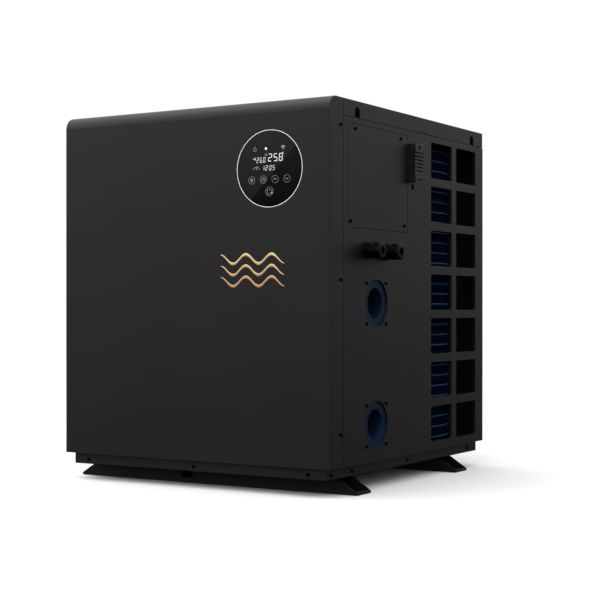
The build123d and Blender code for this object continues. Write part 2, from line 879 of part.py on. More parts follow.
with BuildPart() as front_emblem:
    with BuildSketch(front_wall):
        for row in (-1, 0, 1):
            span = wave_length * wave_count
            crest_x = [emblem_x - span / 2 + wave_length / 2 * k for k in range(crest_count)]
            crest_z = [emblem_z + row * wave_spacing + wave_swing * (-1) ** k for k in range(crest_count)]
            with BuildLine():
                upper = Spline(*zip(crest_x, crest_z))
                lower = Spline(*[(x, z - wave_height) for x, z in zip(crest_x, crest_z)])
                Line(upper @ 0, lower @ 0)
                Line(upper @ 1, lower @ 1)
            make_face()
    extrude(amount=emblem_thickness)

front_emblem.part.label = "front_emblem"
export_step(front_emblem.part, "parts/front_emblem.step")

# ---- Evaporator: one row of tubes bent in a U round the sides and rear of the fan chamber ----
tube_radius = 3.5
tube_bore = 3.0
tube_count = 30
tube_pitch = 17.35
lowest_tube_z = 42.9
coil_half_width = 219
coil_front = 10
coil_rear = 252.5
coil_bend = 94
fin_depth = 20
fin_low = 34.2
fin_high = 554.6
fin_mid_z = (fin_low + fin_high) / 2
tube_grip = 0.02
tube_heights = [lowest_tube_z + tube_pitch * k for k in range(tube_count)]

with BuildLine() as coil_path:
    FilletPolyline(
        (coil_half_width, coil_front),
        (coil_half_width, coil_rear),
        (-coil_half_width, coil_rear),
        (-coil_half_width, coil_front),
        radius=coil_bend,
    )

coil_end = Plane(origin=(coil_half_width, coil_front, 0), x_dir=(1, 0, 0), z_dir=(0, 1, 0))

with BuildPart() as bent_rod:
    with BuildSketch(coil_end):
        Circle(tube_radius + tube_grip)
    sweep(path=coil_path.line)

with BuildPart() as bent_tube:
    with BuildSketch(coil_end):
        Circle(tube_radius)
        Circle(tube_bore, mode=Mode.SUBTRACT)
    sweep(path=coil_path.line)

with BuildPart() as evaporator_fins:
    with BuildSketch(coil_end):
        with Locations((0, -fin_mid_z)):
            Rectangle(fin_depth, fin_high - fin_low)
    sweep(path=coil_path.line)
    with Locations(*[(0, 0, z) for z in tube_heights]):
        add(bent_rod.part, mode=Mode.SUBTRACT)

evaporator_fins.part.label = "evaporator_fins"
export_step(evaporator_fins.part, "parts/evaporator_fins.step")

# ---- Evaporator end plates and the return bends that join the tubes in pairs ----
end_plate_thickness = 1.5
end_plate_margin = 4

with BuildPart() as evaporator_end_plates:
    with BuildSketch(Plane.XZ.offset(-coil_front)):
        for x in (-coil_half_width, coil_half_width):
            with Locations((x, fin_mid_z)):
                Rectangle(fin_depth + end_plate_margin, fin_high - fin_low)
            with Locations(*[(x, z) for z in tube_heights]):
                Circle(tube_radius + lap_gap, mode=Mode.SUBTRACT)
    extrude(amount=end_plate_thickness)

evaporator_end_plates.part.label = "evaporator_end_plates"
export_step(evaporator_end_plates.part, "parts/evaporator_end_plates.step")

bend_radius = tube_pitch / 2
with BuildPart() as return_bend:
    with BuildSketch(Plane.XZ):
        with Locations((0, bend_radius)):
            Circle(tube_radius)
            Circle(tube_bore, mode=Mode.SUBTRACT)
    revolve(axis=Axis.X, revolution_arc=180)

bend_start = coil_front - tight_gap
left_bends = [(-coil_half_width, bend_start, z + bend_radius) for z in tube_heights[0::2]]
right_bends = [(coil_half_width, bend_start, z + bend_radius) for z in tube_heights[1:-1:2]]

with BuildPart() as evaporator_tubes:
    with Locations(*[(0, 0, z) for z in tube_heights]):
        add(bent_tube.part)
    with Locations(*left_bends, *right_bends):
        add(return_bend.part)

evaporator_tubes.part.label = "evaporator_tubes"
export_step(evaporator_tubes.part, "parts/evaporator_tubes.step")


# ---- Refrigerant pipes: round tube swept along a path of straight runs and tangent bends ----
def pipe(points, outer, wall, corner):
    """A hollow pipe through the points, with one bend radius for all its corners."""
    with BuildLine() as route:
        FilletPolyline(*points, radius=corner)
    with BuildPart() as tube:
        with BuildSketch(Plane(origin=route.line @ 0, z_dir=route.line % 0)):
            Circle(outer)
            Circle(outer - wall, mode=Mode.SUBTRACT)
        sweep(path=route.line)
    return tube


header_x = 203
header_y = -8
header_corner = 7

liquid_header = pipe(
    [
        (coil_half_width, coil_front - fit_gap, tube_heights[0]),
        (coil_half_width, header_y, tube_heights[0]),
        (header_x, header_y, tube_heights[0]),
        (header_x, header_y, tube_heights[-1]),
        (coil_half_width, header_y, tube_heights[-1]),
        (coil_half_width, coil_front - fit_gap, tube_heights[-1]),
    ],
    tube_radius,
    tube_radius - tube_bore,
    header_corner,
)

# ---- Partition between the machine compartment and the fan chamber ----
partition_y = -22
partition_half_width = 237
deck_z = 566
gas_port = (-coil_half_width, tube_heights[14] + bend_radius)
liquid_port = (header_x, 200)
pipe_radius = 5
pipe_wall = 0.8
pipe_boss = 7

with BuildPart() as partition:
    with BuildSketch(Plane.XZ.offset(-partition_y)):
        with Locations((0, pan_floor)):
            Rectangle(2 * partition_half_width, deck_z - pan_floor, align=(Align.CENTER, Align.MIN))
        with Locations(gas_port, liquid_port):
            Circle(pipe_boss, mode=Mode.SUBTRACT)
    extrude(amount=-sheet)

partition.part.label = "partition"
export_step(partition.part, "parts/partition.step")

# ---- Fan deck with its inlet ring, under the lid ----
ring_radius = 122
ring_wall = 1.5
ring_low = 530
ring_high = 588
deck_rear = 272
bracket_reach = 132
bracket_arms = (45, 135)
bracket_angles = (*bracket_arms, *[angle + 180 for angle in bracket_arms])
bracket_bolt_spots = [
    (fan_x + bracket_reach * cos(angle * pi / 180), fan_y + bracket_reach * sin(angle * pi / 180))
    for angle in bracket_angles
]

with BuildPart() as fan_shroud:
    with BuildSketch(Plane.XY.offset(deck_z)):
        with Locations((0, partition_y)):
            Rectangle(2 * partition_half_width, deck_rear - partition_y, align=(Align.CENTER, Align.MIN))
        with Locations(*bracket_bolt_spots):
            Circle(screw_hole, mode=Mode.SUBTRACT)
    extrude(amount=sheet)
    with BuildSketch(Plane.XY.offset(ring_low)):
        with Locations((fan_x, fan_y)):
            Circle(ring_radius + ring_wall)
    extrude(amount=ring_high - ring_low)
    with BuildSketch(Plane.XY.offset(ring_low)):
        with Locations((fan_x, fan_y)):
            Circle(ring_radius)
    extrude(amount=ring_high - ring_low, mode=Mode.SUBTRACT)

fan_shroud.part.label = "fan_shroud"
export_step(fan_shroud.part, "parts/fan_shroud.step")

# ---- Fan motor and its four-legged bracket, hung from the deck ----
motor_plate_z = 452
motor_plate = 3
motor_radius = 42
motor_height = 50
motor_top = motor_plate_z + motor_plate + motor_height
shaft_radius = 6
shaft_play = 0.05
bracket_width = 24
bracket_disc = 50
bracket_foot = 14
bracket_end = bracket_reach + bracket_foot / 2
motor_round = 6
motor_nose_radius = 14
motor_nose = 5
motor_groove_count = 5
motor_groove_start = 6
motor_groove_pitch = 7
motor_groove_width = 3
motor_groove_depth = 1.5

with BuildPart() as motor_bracket:
    with BuildSketch(Plane.XY.offset(motor_plate_z)):
        with Locations((fan_x, fan_y)):
            Circle(bracket_disc)
            for angle in bracket_arms:
                Rectangle(2 * bracket_end, bracket_width, rotation=angle)
    extrude(amount=motor_plate)
    for angle in bracket_angles:
        leg = Plane(origin=(fan_x, fan_y, motor_plate_z), z_dir=(0, 0, 1)).rotated((0, 0, angle))
        with BuildSketch(leg):
            with Locations((bracket_end, 0)):
                Rectangle(motor_plate, bracket_width, align=(Align.MAX, Align.CENTER))
        extrude(amount=deck_z - motor_plate_z)
        with BuildSketch(leg.offset(deck_z - motor_plate_z - motor_plate)):
            with Locations((bracket_end, 0)):
                Rectangle(bracket_foot, bracket_width, align=(Align.MAX, Align.CENTER))
        extrude(amount=motor_plate)
    with BuildSketch(Plane.XY.offset(deck_z)):
        with Locations(*bracket_bolt_spots):
            Circle(screw_hole)
    extrude(amount=-2 * motor_plate, mode=Mode.SUBTRACT)

motor_bracket.part.label = "motor_bracket"
export_step(motor_bracket.part, "parts/motor_bracket.step")

with BuildPart() as fan_motor:
    with Locations((fan_x, fan_y, motor_plate_z + motor_plate)):
        Cylinder(motor_radius, motor_height, align=ON_FACE)
    fillet(fan_motor.edges().group_by(Axis.Z)[-1], motor_round)
    with Locations((fan_x, fan_y, motor_top)):
        Cylinder(motor_nose_radius, motor_nose, align=ON_FACE)
        Cylinder(shaft_radius + shaft_play, motor_height, mode=Mode.SUBTRACT)
    for groove in range(motor_groove_count):
        groove_z = motor_plate_z + motor_plate + motor_groove_start + groove * motor_groove_pitch
        with BuildSketch(Plane.XY.offset(groove_z)):
            with Locations((fan_x, fan_y)):
                Circle(motor_radius + 1)
                Circle(motor_radius - motor_groove_depth, mode=Mode.SUBTRACT)
        extrude(amount=motor_groove_width, mode=Mode.SUBTRACT)

fan_motor.part.label = "fan_motor"
export_step(fan_motor.part, "parts/fan_motor.step")

# ---- Fan rotor: hub and cambered blades, on a shaft with a nut ----
# A blade is lofted from its root section to its tip section, each given as (reach, chord, pitch angle).
rotor_radius = 118
rotor_hub = 38
blade_mid_z = 540
rotor_height = 48
rotor_hub_low = 518
blade_count = 5
blade_thickness = 3
blade_camber = 6
blade_overrun = 6
blade_root = (rotor_hub - blade_overrun, 58, 38)
blade_tip = (rotor_radius + blade_overrun, 92, 22)
hub_round = 5
hub_wall = 4
hub_cap = 8
hub_core = 12
hub_core_set_back = 6
shaft_low = motor_top - motor_height / 2 + 2
shaft_top = rotor_hub_low + rotor_height + 10
fan_nut_corner = 10
fan_nut_height = 6

with BuildPart() as fan_blade:
    for reach, chord, pitch in (blade_root, blade_tip):
        section = Plane(
            origin=(reach, 0, blade_mid_z),
            x_dir=(0, cos(pitch * pi / 180), sin(pitch * pi / 180)),
            z_dir=(1, 0, 0),
        )
        half = chord / 2
        upper_crest = blade_camber + blade_thickness
        with BuildSketch(section):
            with BuildLine():
                ThreePointArc((-half, 0), (0, blade_camber), (half, 0))
                Line((half, 0), (half, blade_thickness))
                ThreePointArc((half, blade_thickness), (0, upper_crest), (-half, blade_thickness))
                Line((-half, blade_thickness), (-half, 0))
            make_face()
    loft()
    with Locations((0, 0, rotor_hub_low)):
        Cylinder(rotor_radius, 2 * rotor_height, align=ON_FACE, mode=Mode.INTERSECT)

with BuildPart() as fan_rotor:
    with Locations((fan_x, fan_y)):
        with PolarLocations(0, blade_count):
            add(fan_blade.part)
    with Locations((fan_x, fan_y, rotor_hub_low)):
        Cylinder(rotor_hub, rotor_height, align=ON_FACE)
    fillet(fan_rotor.faces().sort_by(Axis.Z)[-1].edges(), hub_round)
    with Locations((fan_x, fan_y, rotor_hub_low)):
        Cylinder(shaft_radius, rotor_height, align=ON_FACE, mode=Mode.SUBTRACT)
        Cylinder(rotor_hub - hub_wall, rotor_height - hub_cap, align=ON_FACE, mode=Mode.SUBTRACT)
        Cylinder(hub_core, rotor_height - hub_core_set_back, align=ON_FACE)
        Cylinder(shaft_radius, rotor_height, align=ON_FACE, mode=Mode.SUBTRACT)

fan_rotor.part.label = "fan_rotor"
export_step(fan_rotor.part, "parts/fan_rotor.step")

with BuildPart() as fan_shaft:
    with Locations((fan_x, fan_y, shaft_low)):
        Cylinder(shaft_radius, shaft_top - shaft_low, align=ON_FACE)
    chamfer(fan_shaft.edges().group_by(Axis.Z)[-1], edge_round)

fan_shaft.part.label = "fan_shaft"
export_step(fan_shaft.part, "parts/fan_shaft.step")

with BuildPart() as fan_nut:
    with BuildSketch(Plane.XY.offset(rotor_hub_low + rotor_height)):
        with Locations((fan_x, fan_y)):
            RegularPolygon(fan_nut_corner, hex_sides)
            Circle(shaft_radius + tube_grip, mode=Mode.SUBTRACT)
    extrude(amount=fan_nut_height)

fan_nut.part.label = "fan_nut"
export_step(fan_nut.part, "parts/fan_nut.step")

# ---- Fan guard: rings and bars inside a raised rim, screwed to the lid ----
guard_rise = 8
guard_bar = 3
guard_rim = 128.5
guard_flange = 143
guard_flange_thickness = 2
guard_core = 12
hoop_pitch = 18
hoop_count = 6
bar_count = 8
bar_overlap = 1
bar_length = guard_rim - guard_core
bar_mid = (guard_rim + guard_core) / 2 - bar_overlap

with BuildPart() as fan_guard:
    with BuildSketch(lid_top.offset(guard_rise - guard_bar)):
        with Locations((fan_x, fan_y)):
            Circle(guard_rim)
            Circle(guard_rim - guard_bar, mode=Mode.SUBTRACT)
            for ring in reversed(range(hoop_count)):
                hoop_radius = guard_core + guard_bar + ring * hoop_pitch
                Circle(hoop_radius + guard_bar / 2)
                Circle(hoop_radius - guard_bar / 2, mode=Mode.SUBTRACT)
            Circle(guard_core)
            with PolarLocations(bar_mid, bar_count, start_angle=180 / bar_count):
                Rectangle(bar_length, guard_bar)
    extrude(amount=guard_bar)
    with BuildSketch(lid_top):
        with Locations((fan_x, fan_y)):
            Circle(guard_rim)
            Circle(guard_rim - guard_bar, mode=Mode.SUBTRACT)
    extrude(amount=guard_rise - guard_bar)
    with BuildSketch(lid_top):
        with Locations((fan_x, fan_y)):
            Circle(guard_flange)
            Circle(guard_rim - guard_bar, mode=Mode.SUBTRACT)
            with PolarLocations(guard_bolt_circle, guard_bolt_count, start_angle=guard_bolt_angle):
                Circle(screw_hole, mode=Mode.SUBTRACT)
    extrude(amount=guard_flange_thickness)

fan_guard.part.label = "fan_guard"
export_step(fan_guard.part, "parts/fan_guard.step")

# ---- Compressor: welded shell with domed ends on a three-legged foot plate ----
compressor_radius = 60
compressor_foot_z = 44
compressor_top = 296
compressor_dome = 24
compressor_base_round = 10
compressor_seam_drop = 60
compressor_seam = 1.5
compressor_seam_height = 8
foot_plate = 4
stub_height = 9

with BuildPart() as compressor_shell:
    with Locations((compressor_x, compressor_y, compressor_foot_z + foot_plate)):
        Cylinder(compressor_radius, compressor_top - compressor_foot_z - foot_plate, align=ON_FACE)
    fillet(compressor_shell.edges().group_by(Axis.Z)[-1], compressor_dome)
    fillet(compressor_shell.edges().group_by(Axis.Z)[0], compressor_base_round)
    with Locations((compressor_x, compressor_y, compressor_top - compressor_seam_drop)):
        Cylinder(compressor_radius + compressor_seam, compressor_seam_height)
    with Locations((compressor_x, compressor_y, compressor_top - 1)):
        Cylinder(pipe_boss, stub_height, align=ON_FACE)
        Cylinder(pipe_radius, stub_height, align=ON_FACE, mode=Mode.SUBTRACT)

compressor_shell.part.label = "compressor_shell"
export_step(compressor_shell.part, "parts/compressor_shell.step")

grommet_bore = stud_radius + 2 * fit_gap
grommet_neck = 10
grommet_radius = 14
grommet_cap = 6
foot_corner = 18

with BuildPart() as compressor_foot:
    with BuildSketch(Plane.XY.offset(compressor_foot_z)):
        with Locations((compressor_x, compressor_y)):
            with PolarLocations(stud_circle, leg_count, start_angle=first_leg_angle):
                Circle(foot_corner)
        make_hull()
        with Locations((compressor_x, compressor_y)):
            with PolarLocations(stud_circle, leg_count, start_angle=first_leg_angle):
                Circle(grommet_neck + fit_gap, mode=Mode.SUBTRACT)
    extrude(amount=foot_plate)

compressor_foot.part.label = "compressor_foot"
export_step(compressor_foot.part, "parts/compressor_foot.step")

stud_places = [
    (
        compressor_x + stud_circle * cos(angle * pi / 180),
        compressor_y + stud_circle * sin(angle * pi / 180),
    )
    for angle in leg_angles
]

grommet_top = compressor_foot_z + foot_plate + grommet_cap

with BuildPart() as compressor_grommets:
    with Locations(*[(x, y, pan_floor) for x, y in stud_places]):
        Cylinder(grommet_radius, compressor_foot_z - pan_floor, align=ON_FACE)
        Cylinder(grommet_neck, compressor_foot_z - pan_floor + foot_plate, align=ON_FACE)
    with Locations(*[(x, y, compressor_foot_z + foot_plate) for x, y in stud_places]):
        Cylinder(grommet_radius, grommet_cap, align=ON_FACE)
    with Locations(*[(x, y, pan_floor) for x, y in stud_places]):
        Cylinder(grommet_bore, grommet_top - pan_floor, align=ON_FACE, mode=Mode.SUBTRACT)

compressor_grommets.part.label = "compressor_grommets"
export_step(compressor_grommets.part, "parts/compressor_grommets.step")

stud_nut_corner = 8
stud_nut_height = 6
stud_top = grommet_top + 10

with BuildPart() as compressor_studs:
    with Locations(*[(x, y, pan_bottom) for x, y in stud_places]):
        Cylinder(stud_radius, stud_top - pan_bottom, align=ON_FACE)
    with BuildSketch(Plane.XY.offset(grommet_top)):
        with Locations(*stud_places):
            RegularPolygon(stud_nut_corner, hex_sides)
            Circle(stud_radius + tight_gap, mode=Mode.SUBTRACT)
    extrude(amount=stud_nut_height)

compressor_studs.part.label = "compressor_studs"
export_step(compressor_studs.part, "parts/compressor_studs.step")


# ---- Suction accumulator beside the compressor ----
accumulator_x = compressor_x - compressor_radius - 36
accumulator_radius = 27
accumulator_low = 90
accumulator_top = 262
accumulator_dome = 14

with BuildPart() as accumulator:
    with Locations((accumulator_x, compressor_y, accumulator_low)):
        Cylinder(accumulator_radius, accumulator_top - accumulator_low, align=ON_FACE)
    fillet(accumulator.edges().group_by(Axis.Z)[-1], accumulator_dome)
    fillet(accumulator.edges().group_by(Axis.Z)[0], accumulator_dome)
    with Locations((accumulator_x, compressor_y, accumulator_top - 1)):
        Cylinder(pipe_boss, stub_height, align=ON_FACE)
        Cylinder(pipe_radius, stub_height, align=ON_FACE, mode=Mode.SUBTRACT)

accumulator.part.label = "accumulator"
export_step(accumulator.part, "parts/accumulator.step")

# ---- Water heat exchanger: plastic shell with end caps and a titanium coil inside ----
exchanger_x = 118
exchanger_radius = 55
exchanger_wall = 4
exchanger_low = 58
exchanger_top = 326
cap_height = 26
cap_wall = 4
cap_end = 6
cap_edge = 5
union_flange = 3
water_end_x = half_width - collar_face - hub_length

with BuildPart() as exchanger_shell:
    with Locations((exchanger_x, port_y, exchanger_low)):
        Cylinder(exchanger_radius, exchanger_top - exchanger_low, align=ON_FACE)
    with BuildSketch(Plane.YZ.offset(exchanger_x)):
        with Locations((port_y, inlet_z), (port_y, outlet_z)):
            Circle(pipe_outer)
    extrude(amount=water_end_x - exchanger_x)
    with BuildSketch(Plane.YZ.offset(water_end_x)):
        with Locations((port_y, inlet_z), (port_y, outlet_z)):
            Circle(hub_radius)
    extrude(amount=-union_flange)
    with Locations((exchanger_x, port_y, exchanger_low - 1)):
        Cylinder(
            exchanger_radius - exchanger_wall,
            exchanger_top - exchanger_low + 2,
            align=ON_FACE,
            mode=Mode.SUBTRACT,
        )
    with BuildSketch(Plane.YZ.offset(exchanger_x)):
        with Locations((port_y, inlet_z), (port_y, outlet_z)):
            Circle(pipe_bore)
    extrude(amount=water_end_x - exchanger_x, mode=Mode.SUBTRACT)

switch_x = 194
switch_bore = 11
switch_tee = 14
switch_tee_top = inlet_z + 38
tee_reach = 20

with BuildPart() as switch_tee_core:
    with Locations((switch_x, port_y, inlet_z)):
        Cylinder(switch_bore, switch_tee_top - inlet_z, align=ON_FACE)

with BuildPart() as switch_tee_outer:
    with Locations((switch_x, port_y, inlet_z)):
        Cylinder(switch_tee, switch_tee_top - inlet_z, align=ON_FACE)
    with BuildSketch(Plane.YZ.offset(switch_x)):
        with Locations((port_y, inlet_z)):
            Circle(pipe_bore)
    extrude(amount=tee_reach, both=True, mode=Mode.SUBTRACT)

with BuildPart() as heat_exchanger_shell:
    add(exchanger_shell.part)
    add(switch_tee_outer.part)
    add(switch_tee_core.part, mode=Mode.SUBTRACT)

heat_exchanger_shell.part.label = "heat_exchanger_shell"
export_step(heat_exchanger_shell.part, "parts/heat_exchanger_shell.step")

coil_port_reach = 22
coil_inlet_x = exchanger_x - coil_port_reach
coil_outlet_x = exchanger_x + coil_port_reach

with BuildPart() as heat_exchanger_caps:
    with Locations((exchanger_x, port_y, exchanger_low - cap_end)):
        Cylinder(exchanger_radius + cap_wall, cap_height, align=ON_FACE)
    with Locations((exchanger_x, port_y, exchanger_top + cap_end)):
        Cylinder(exchanger_radius + cap_wall, cap_height, align=BELOW_FACE)
    fillet(heat_exchanger_caps.edges().group_by(Axis.Z)[-1], cap_edge)
    with Locations((exchanger_x, port_y, exchanger_low)):
        Cylinder(exchanger_radius, exchanger_top - exchanger_low, align=ON_FACE, mode=Mode.SUBTRACT)
    with Locations((coil_inlet_x, port_y, exchanger_top), (coil_outlet_x, port_y, exchanger_top)):
        Cylinder(pipe_radius + tight_gap, 2 * cap_end, align=ON_FACE, mode=Mode.SUBTRACT)

heat_exchanger_caps.part.label = "heat_exchanger_caps"
export_step(heat_exchanger_caps.part, "parts/heat_exchanger_caps.step")

titanium_tube = 5
titanium_ring = 34
titanium_turns = 15
titanium_pitch = 15.5
titanium_low = exchanger_low + 22

with BuildPart() as titanium_coil:
    for turn in range(titanium_turns):
        with Locations((exchanger_x, port_y, titanium_low + turn * titanium_pitch)):
            Torus(titanium_ring, titanium_tube)

titanium_coil.part.label = "titanium_coil"
export_step(titanium_coil.part, "parts/titanium_coil.step")

# ---- Saddle that holds the heat exchanger on the pan ----
saddle_half = 48
saddle_wall = 4
saddle_top = exchanger_low - cap_end

with BuildPart() as exchanger_saddle:
    with BuildSketch(Plane.XY.offset(pan_floor)):
        with Locations((exchanger_x, port_y)):
            Rectangle(2 * saddle_half, 2 * saddle_half)
    extrude(amount=saddle_top - pan_floor)
    with BuildSketch(Plane.XZ.offset(-port_y)):
        with Locations((exchanger_x, pan_floor)):
            Rectangle(
                2 * (saddle_half - saddle_wall),
                saddle_top - pan_floor - saddle_wall,
                align=(Align.CENTER, Align.MIN),
            )
    extrude(amount=saddle_half, both=True, mode=Mode.SUBTRACT)

exchanger_saddle.part.label = "exchanger_saddle"
export_step(exchanger_saddle.part, "parts/exchanger_saddle.step")

# ---- Water flow switch on the inlet tee, with its swinging paddle ----
paddle_pivot_z = inlet_z + 27
paddle_low = inlet_z - 9
pivot_radius = 1.2
pivot_play = 0.05
lug_gap = 10
lug_thickness = 2
lug_width = 6
lug_below_pivot = 3
switch_rim = 2
switch_base = 5
switch_plug = 4
switch_case = (28, 22, 26)
paddle_hub = 2.6
paddle_thickness = 1.6
paddle_half_width = 3.5
paddle_blade = (15, 13)
paddle_corner = 3

with BuildPart() as flow_switch_body:
    with Locations((switch_x, port_y, switch_tee_top)):
        Cylinder(switch_tee + switch_rim, switch_base, align=ON_FACE)
        Cylinder(switch_bore - 2 * fit_gap, switch_plug, align=BELOW_FACE)
    with Locations((switch_x, port_y, switch_tee_top + switch_base)):
        Box(*switch_case, align=ON_FACE)
    fillet(flow_switch_body.edges().group_by(Axis.Z)[-1], corner_round)
    for side in (-1, 1):
        lug_y = port_y + side * (lug_gap + lug_thickness) / 2
        with Locations((switch_x, lug_y, paddle_pivot_z - lug_below_pivot)):
            Box(lug_width, lug_thickness, switch_tee_top - paddle_pivot_z, align=ON_FACE)
    with BuildSketch(Plane.XZ.offset(-port_y)):
        with Locations((switch_x, paddle_pivot_z)):
            Circle(pivot_radius)
    extrude(amount=lug_gap / 2 + lug_thickness, both=True)

flow_switch_body.part.label = "flow_switch_body"
export_step(flow_switch_body.part, "parts/flow_switch_body.step")

with BuildPart() as flow_paddle:
    with BuildSketch(Plane.XZ.offset(-port_y)):
        with Locations((switch_x, paddle_pivot_z)):
            Circle(paddle_hub)
        with Locations((switch_x, paddle_pivot_z)):
            Rectangle(
                paddle_thickness,
                paddle_pivot_z - paddle_low,
                align=(Align.CENTER, Align.MAX),
            )
    extrude(amount=paddle_half_width, both=True)
    with BuildSketch(Plane.YZ.offset(switch_x - paddle_thickness / 2)):
        with Locations((port_y, paddle_low + paddle_blade[1] / 2)):
            RectangleRounded(*paddle_blade, paddle_corner)
    extrude(amount=paddle_thickness)
    with BuildSketch(Plane.XZ.offset(-port_y)):
        with Locations((switch_x, paddle_pivot_z)):
            Circle(pivot_radius + pivot_play)
    extrude(amount=lug_gap / 2, both=True, mode=Mode.SUBTRACT)

flow_paddle.part.label = "flow_paddle"
export_step(flow_paddle.part, "parts/flow_paddle.step")

# ---- Reversing valve: tube with end plugs, a sliding piston inside, and a solenoid in front ----
valve_x = -115
valve_z = 440
valve_half = 45
valve_outer = 14
valve_bore = 12
piston_play = 0.05
piston_length = 62
stub_length = 8
stub_root = 6
port_pitch = 28
valve_plug = 3
stub_low = valve_z - valve_outer - stub_length
stub_high = valve_z + valve_outer + stub_length
valve_ports = [valve_x + k * port_pitch for k in (-1, 0, 1)]
valve_axis = Plane.YZ.offset(valve_x)

with BuildPart() as reversing_valve:
    with BuildSketch(valve_axis):
        with Locations((compressor_y, valve_z)):
            Circle(valve_outer)
    extrude(amount=valve_half, both=True)
    with Locations(*[(x, compressor_y, stub_low) for x in valve_ports]):
        Cylinder(pipe_boss, stub_length + stub_root, align=ON_FACE)
    with Locations((valve_x, compressor_y, stub_high)):
        Cylinder(pipe_boss, stub_length + stub_root, align=BELOW_FACE)
    with BuildSketch(valve_axis):
        with Locations((compressor_y, valve_z)):
            Circle(valve_bore)
    extrude(amount=valve_half - valve_plug, both=True, mode=Mode.SUBTRACT)
    with Locations(*[(x, compressor_y, stub_low) for x in valve_ports]):
        Cylinder(pipe_radius, 2 * stub_length, align=ON_FACE, mode=Mode.SUBTRACT)
    with Locations((valve_x, compressor_y, stub_high)):
        Cylinder(pipe_radius, 2 * stub_length, align=BELOW_FACE, mode=Mode.SUBTRACT)

reversing_valve.part.label = "reversing_valve"
export_step(reversing_valve.part, "parts/reversing_valve.step")

piston_start = valve_x - valve_half + valve_plug + lap_gap
piston_wall = 6
piston_rod = (10, 4)

with BuildPart() as valve_piston:
    for start in (piston_start, piston_start + piston_length - piston_wall):
        with BuildSketch(Plane.YZ.offset(start)):
            with Locations((compressor_y, valve_z)):
                Circle(valve_bore - piston_play)
        extrude(amount=piston_wall)
    with BuildSketch(Plane.YZ.offset(piston_start)):
        with Locations((compressor_y, valve_z)):
            Rectangle(*piston_rod)
    extrude(amount=piston_length)

valve_piston.part.label = "valve_piston"
export_step(valve_piston.part, "parts/valve_piston.step")

solenoid_size = (34, 26, 28)
solenoid_corner = 4

with BuildPart() as valve_solenoid:
    with Locations((valve_x, compressor_y - valve_outer, valve_z)):
        Box(*solenoid_size, align=(Align.CENTER, Align.MAX, Align.CENTER))
    fillet(valve_solenoid.edges().filter_by(Axis.Y), solenoid_corner)

valve_solenoid.part.label = "valve_solenoid"
export_step(valve_solenoid.part, "parts/valve_solenoid.step")

# ---- Expansion valve behind the heat exchanger ----
expansion_x = 30
expansion_y = -46
expansion_z = 300
expansion_body = 9
expansion_body_height = 30
expansion_motor = 16
expansion_motor_height = 28
expansion_port_z = expansion_z + expansion_body_height / 2
expansion_bore_depth = 12

with BuildPart() as expansion_valve:
    with Locations((expansion_x, expansion_y, expansion_z)):
        Cylinder(expansion_body, expansion_body_height, align=ON_FACE)
    with Locations((expansion_x, expansion_y, expansion_z + expansion_body_height)):
        Cylinder(expansion_motor, expansion_motor_height, align=ON_FACE)
    fillet(expansion_valve.edges().group_by(Axis.Z)[-1], solenoid_corner)
    with BuildSketch(Plane.YZ.offset(expansion_x)):
        with Locations((expansion_y, expansion_port_z)):
            Circle(pipe_boss)
    extrude(amount=2 * expansion_body)
    with BuildSketch(Plane.YZ.offset(expansion_x + expansion_body)):
        with Locations((expansion_y, expansion_port_z)):
            Circle(pipe_radius)
    extrude(amount=expansion_body, mode=Mode.SUBTRACT)
    with Locations((expansion_x, expansion_y, expansion_z)):
        Cylinder(pipe_radius, expansion_bore_depth, align=ON_FACE, mode=Mode.SUBTRACT)

expansion_valve.part.label = "expansion_valve"
export_step(expansion_valve.part, "parts/expansion_valve.step")

# ---- Refrigerant pipes between the machine parts ----
pipe_size = pipe_radius - tight_gap
bend_corner = 13
stub_insert = 5
discharge_run_z = valve_z + 60
suction_run_z = 375
exchanger_run_z = 378
exchanger_run_y = -205
evaporator_run_z = 396
evaporator_run_x = -190
evaporator_run_y = -60
condenser_run_z = 362

discharge_pipe = pipe(
    [
        (compressor_x, compressor_y, compressor_top + 2),
        (compressor_x, compressor_y, discharge_run_z),
        (valve_x, compressor_y, discharge_run_z),
        (valve_x, compressor_y, stub_high - stub_insert),
    ],
    pipe_size,
    pipe_wall,
    bend_corner,
)
discharge_pipe.part.label = "discharge_pipe"
export_step(discharge_pipe.part, "parts/discharge_pipe.step")

suction_pipe = pipe(
    [
        (valve_ports[1], compressor_y, stub_low + stub_insert),
        (valve_ports[1], compressor_y, suction_run_z),
        (accumulator_x, compressor_y, suction_run_z),
        (accumulator_x, compressor_y, accumulator_top + 2),
    ],
    pipe_size,
    pipe_wall,
    bend_corner,
)
suction_pipe.part.label = "suction_pipe"
export_step(suction_pipe.part, "parts/suction_pipe.step")

exchanger_pipe = pipe(
    [
        (valve_ports[2], compressor_y, stub_low + stub_insert),
        (valve_ports[2], compressor_y, exchanger_run_z),
        (valve_ports[2], exchanger_run_y, exchanger_run_z),
        (coil_inlet_x, exchanger_run_y, exchanger_run_z),
        (coil_inlet_x, port_y, exchanger_run_z),
        (coil_inlet_x, port_y, exchanger_top + 1),
    ],
    pipe_size,
    pipe_wall,
    bend_corner,
)
exchanger_pipe.part.label = "exchanger_pipe"
export_step(exchanger_pipe.part, "parts/exchanger_pipe.step")

evaporator_pipe = pipe(
    [
        (valve_ports[0], compressor_y, stub_low + stub_insert),
        (valve_ports[0], compressor_y, evaporator_run_z),
        (evaporator_run_x, compressor_y, evaporator_run_z),
        (evaporator_run_x, evaporator_run_y, evaporator_run_z),
        (gas_port[0], evaporator_run_y, evaporator_run_z),
        (gas_port[0], evaporator_run_y, gas_port[1]),
        (gas_port[0], bend_start - bend_radius - tube_radius - fit_gap, gas_port[1]),
    ],
    pipe_size,
    pipe_wall,
    bend_corner,
)
evaporator_pipe.part.label = "evaporator_pipe"
export_step(evaporator_pipe.part, "parts/evaporator_pipe.step")

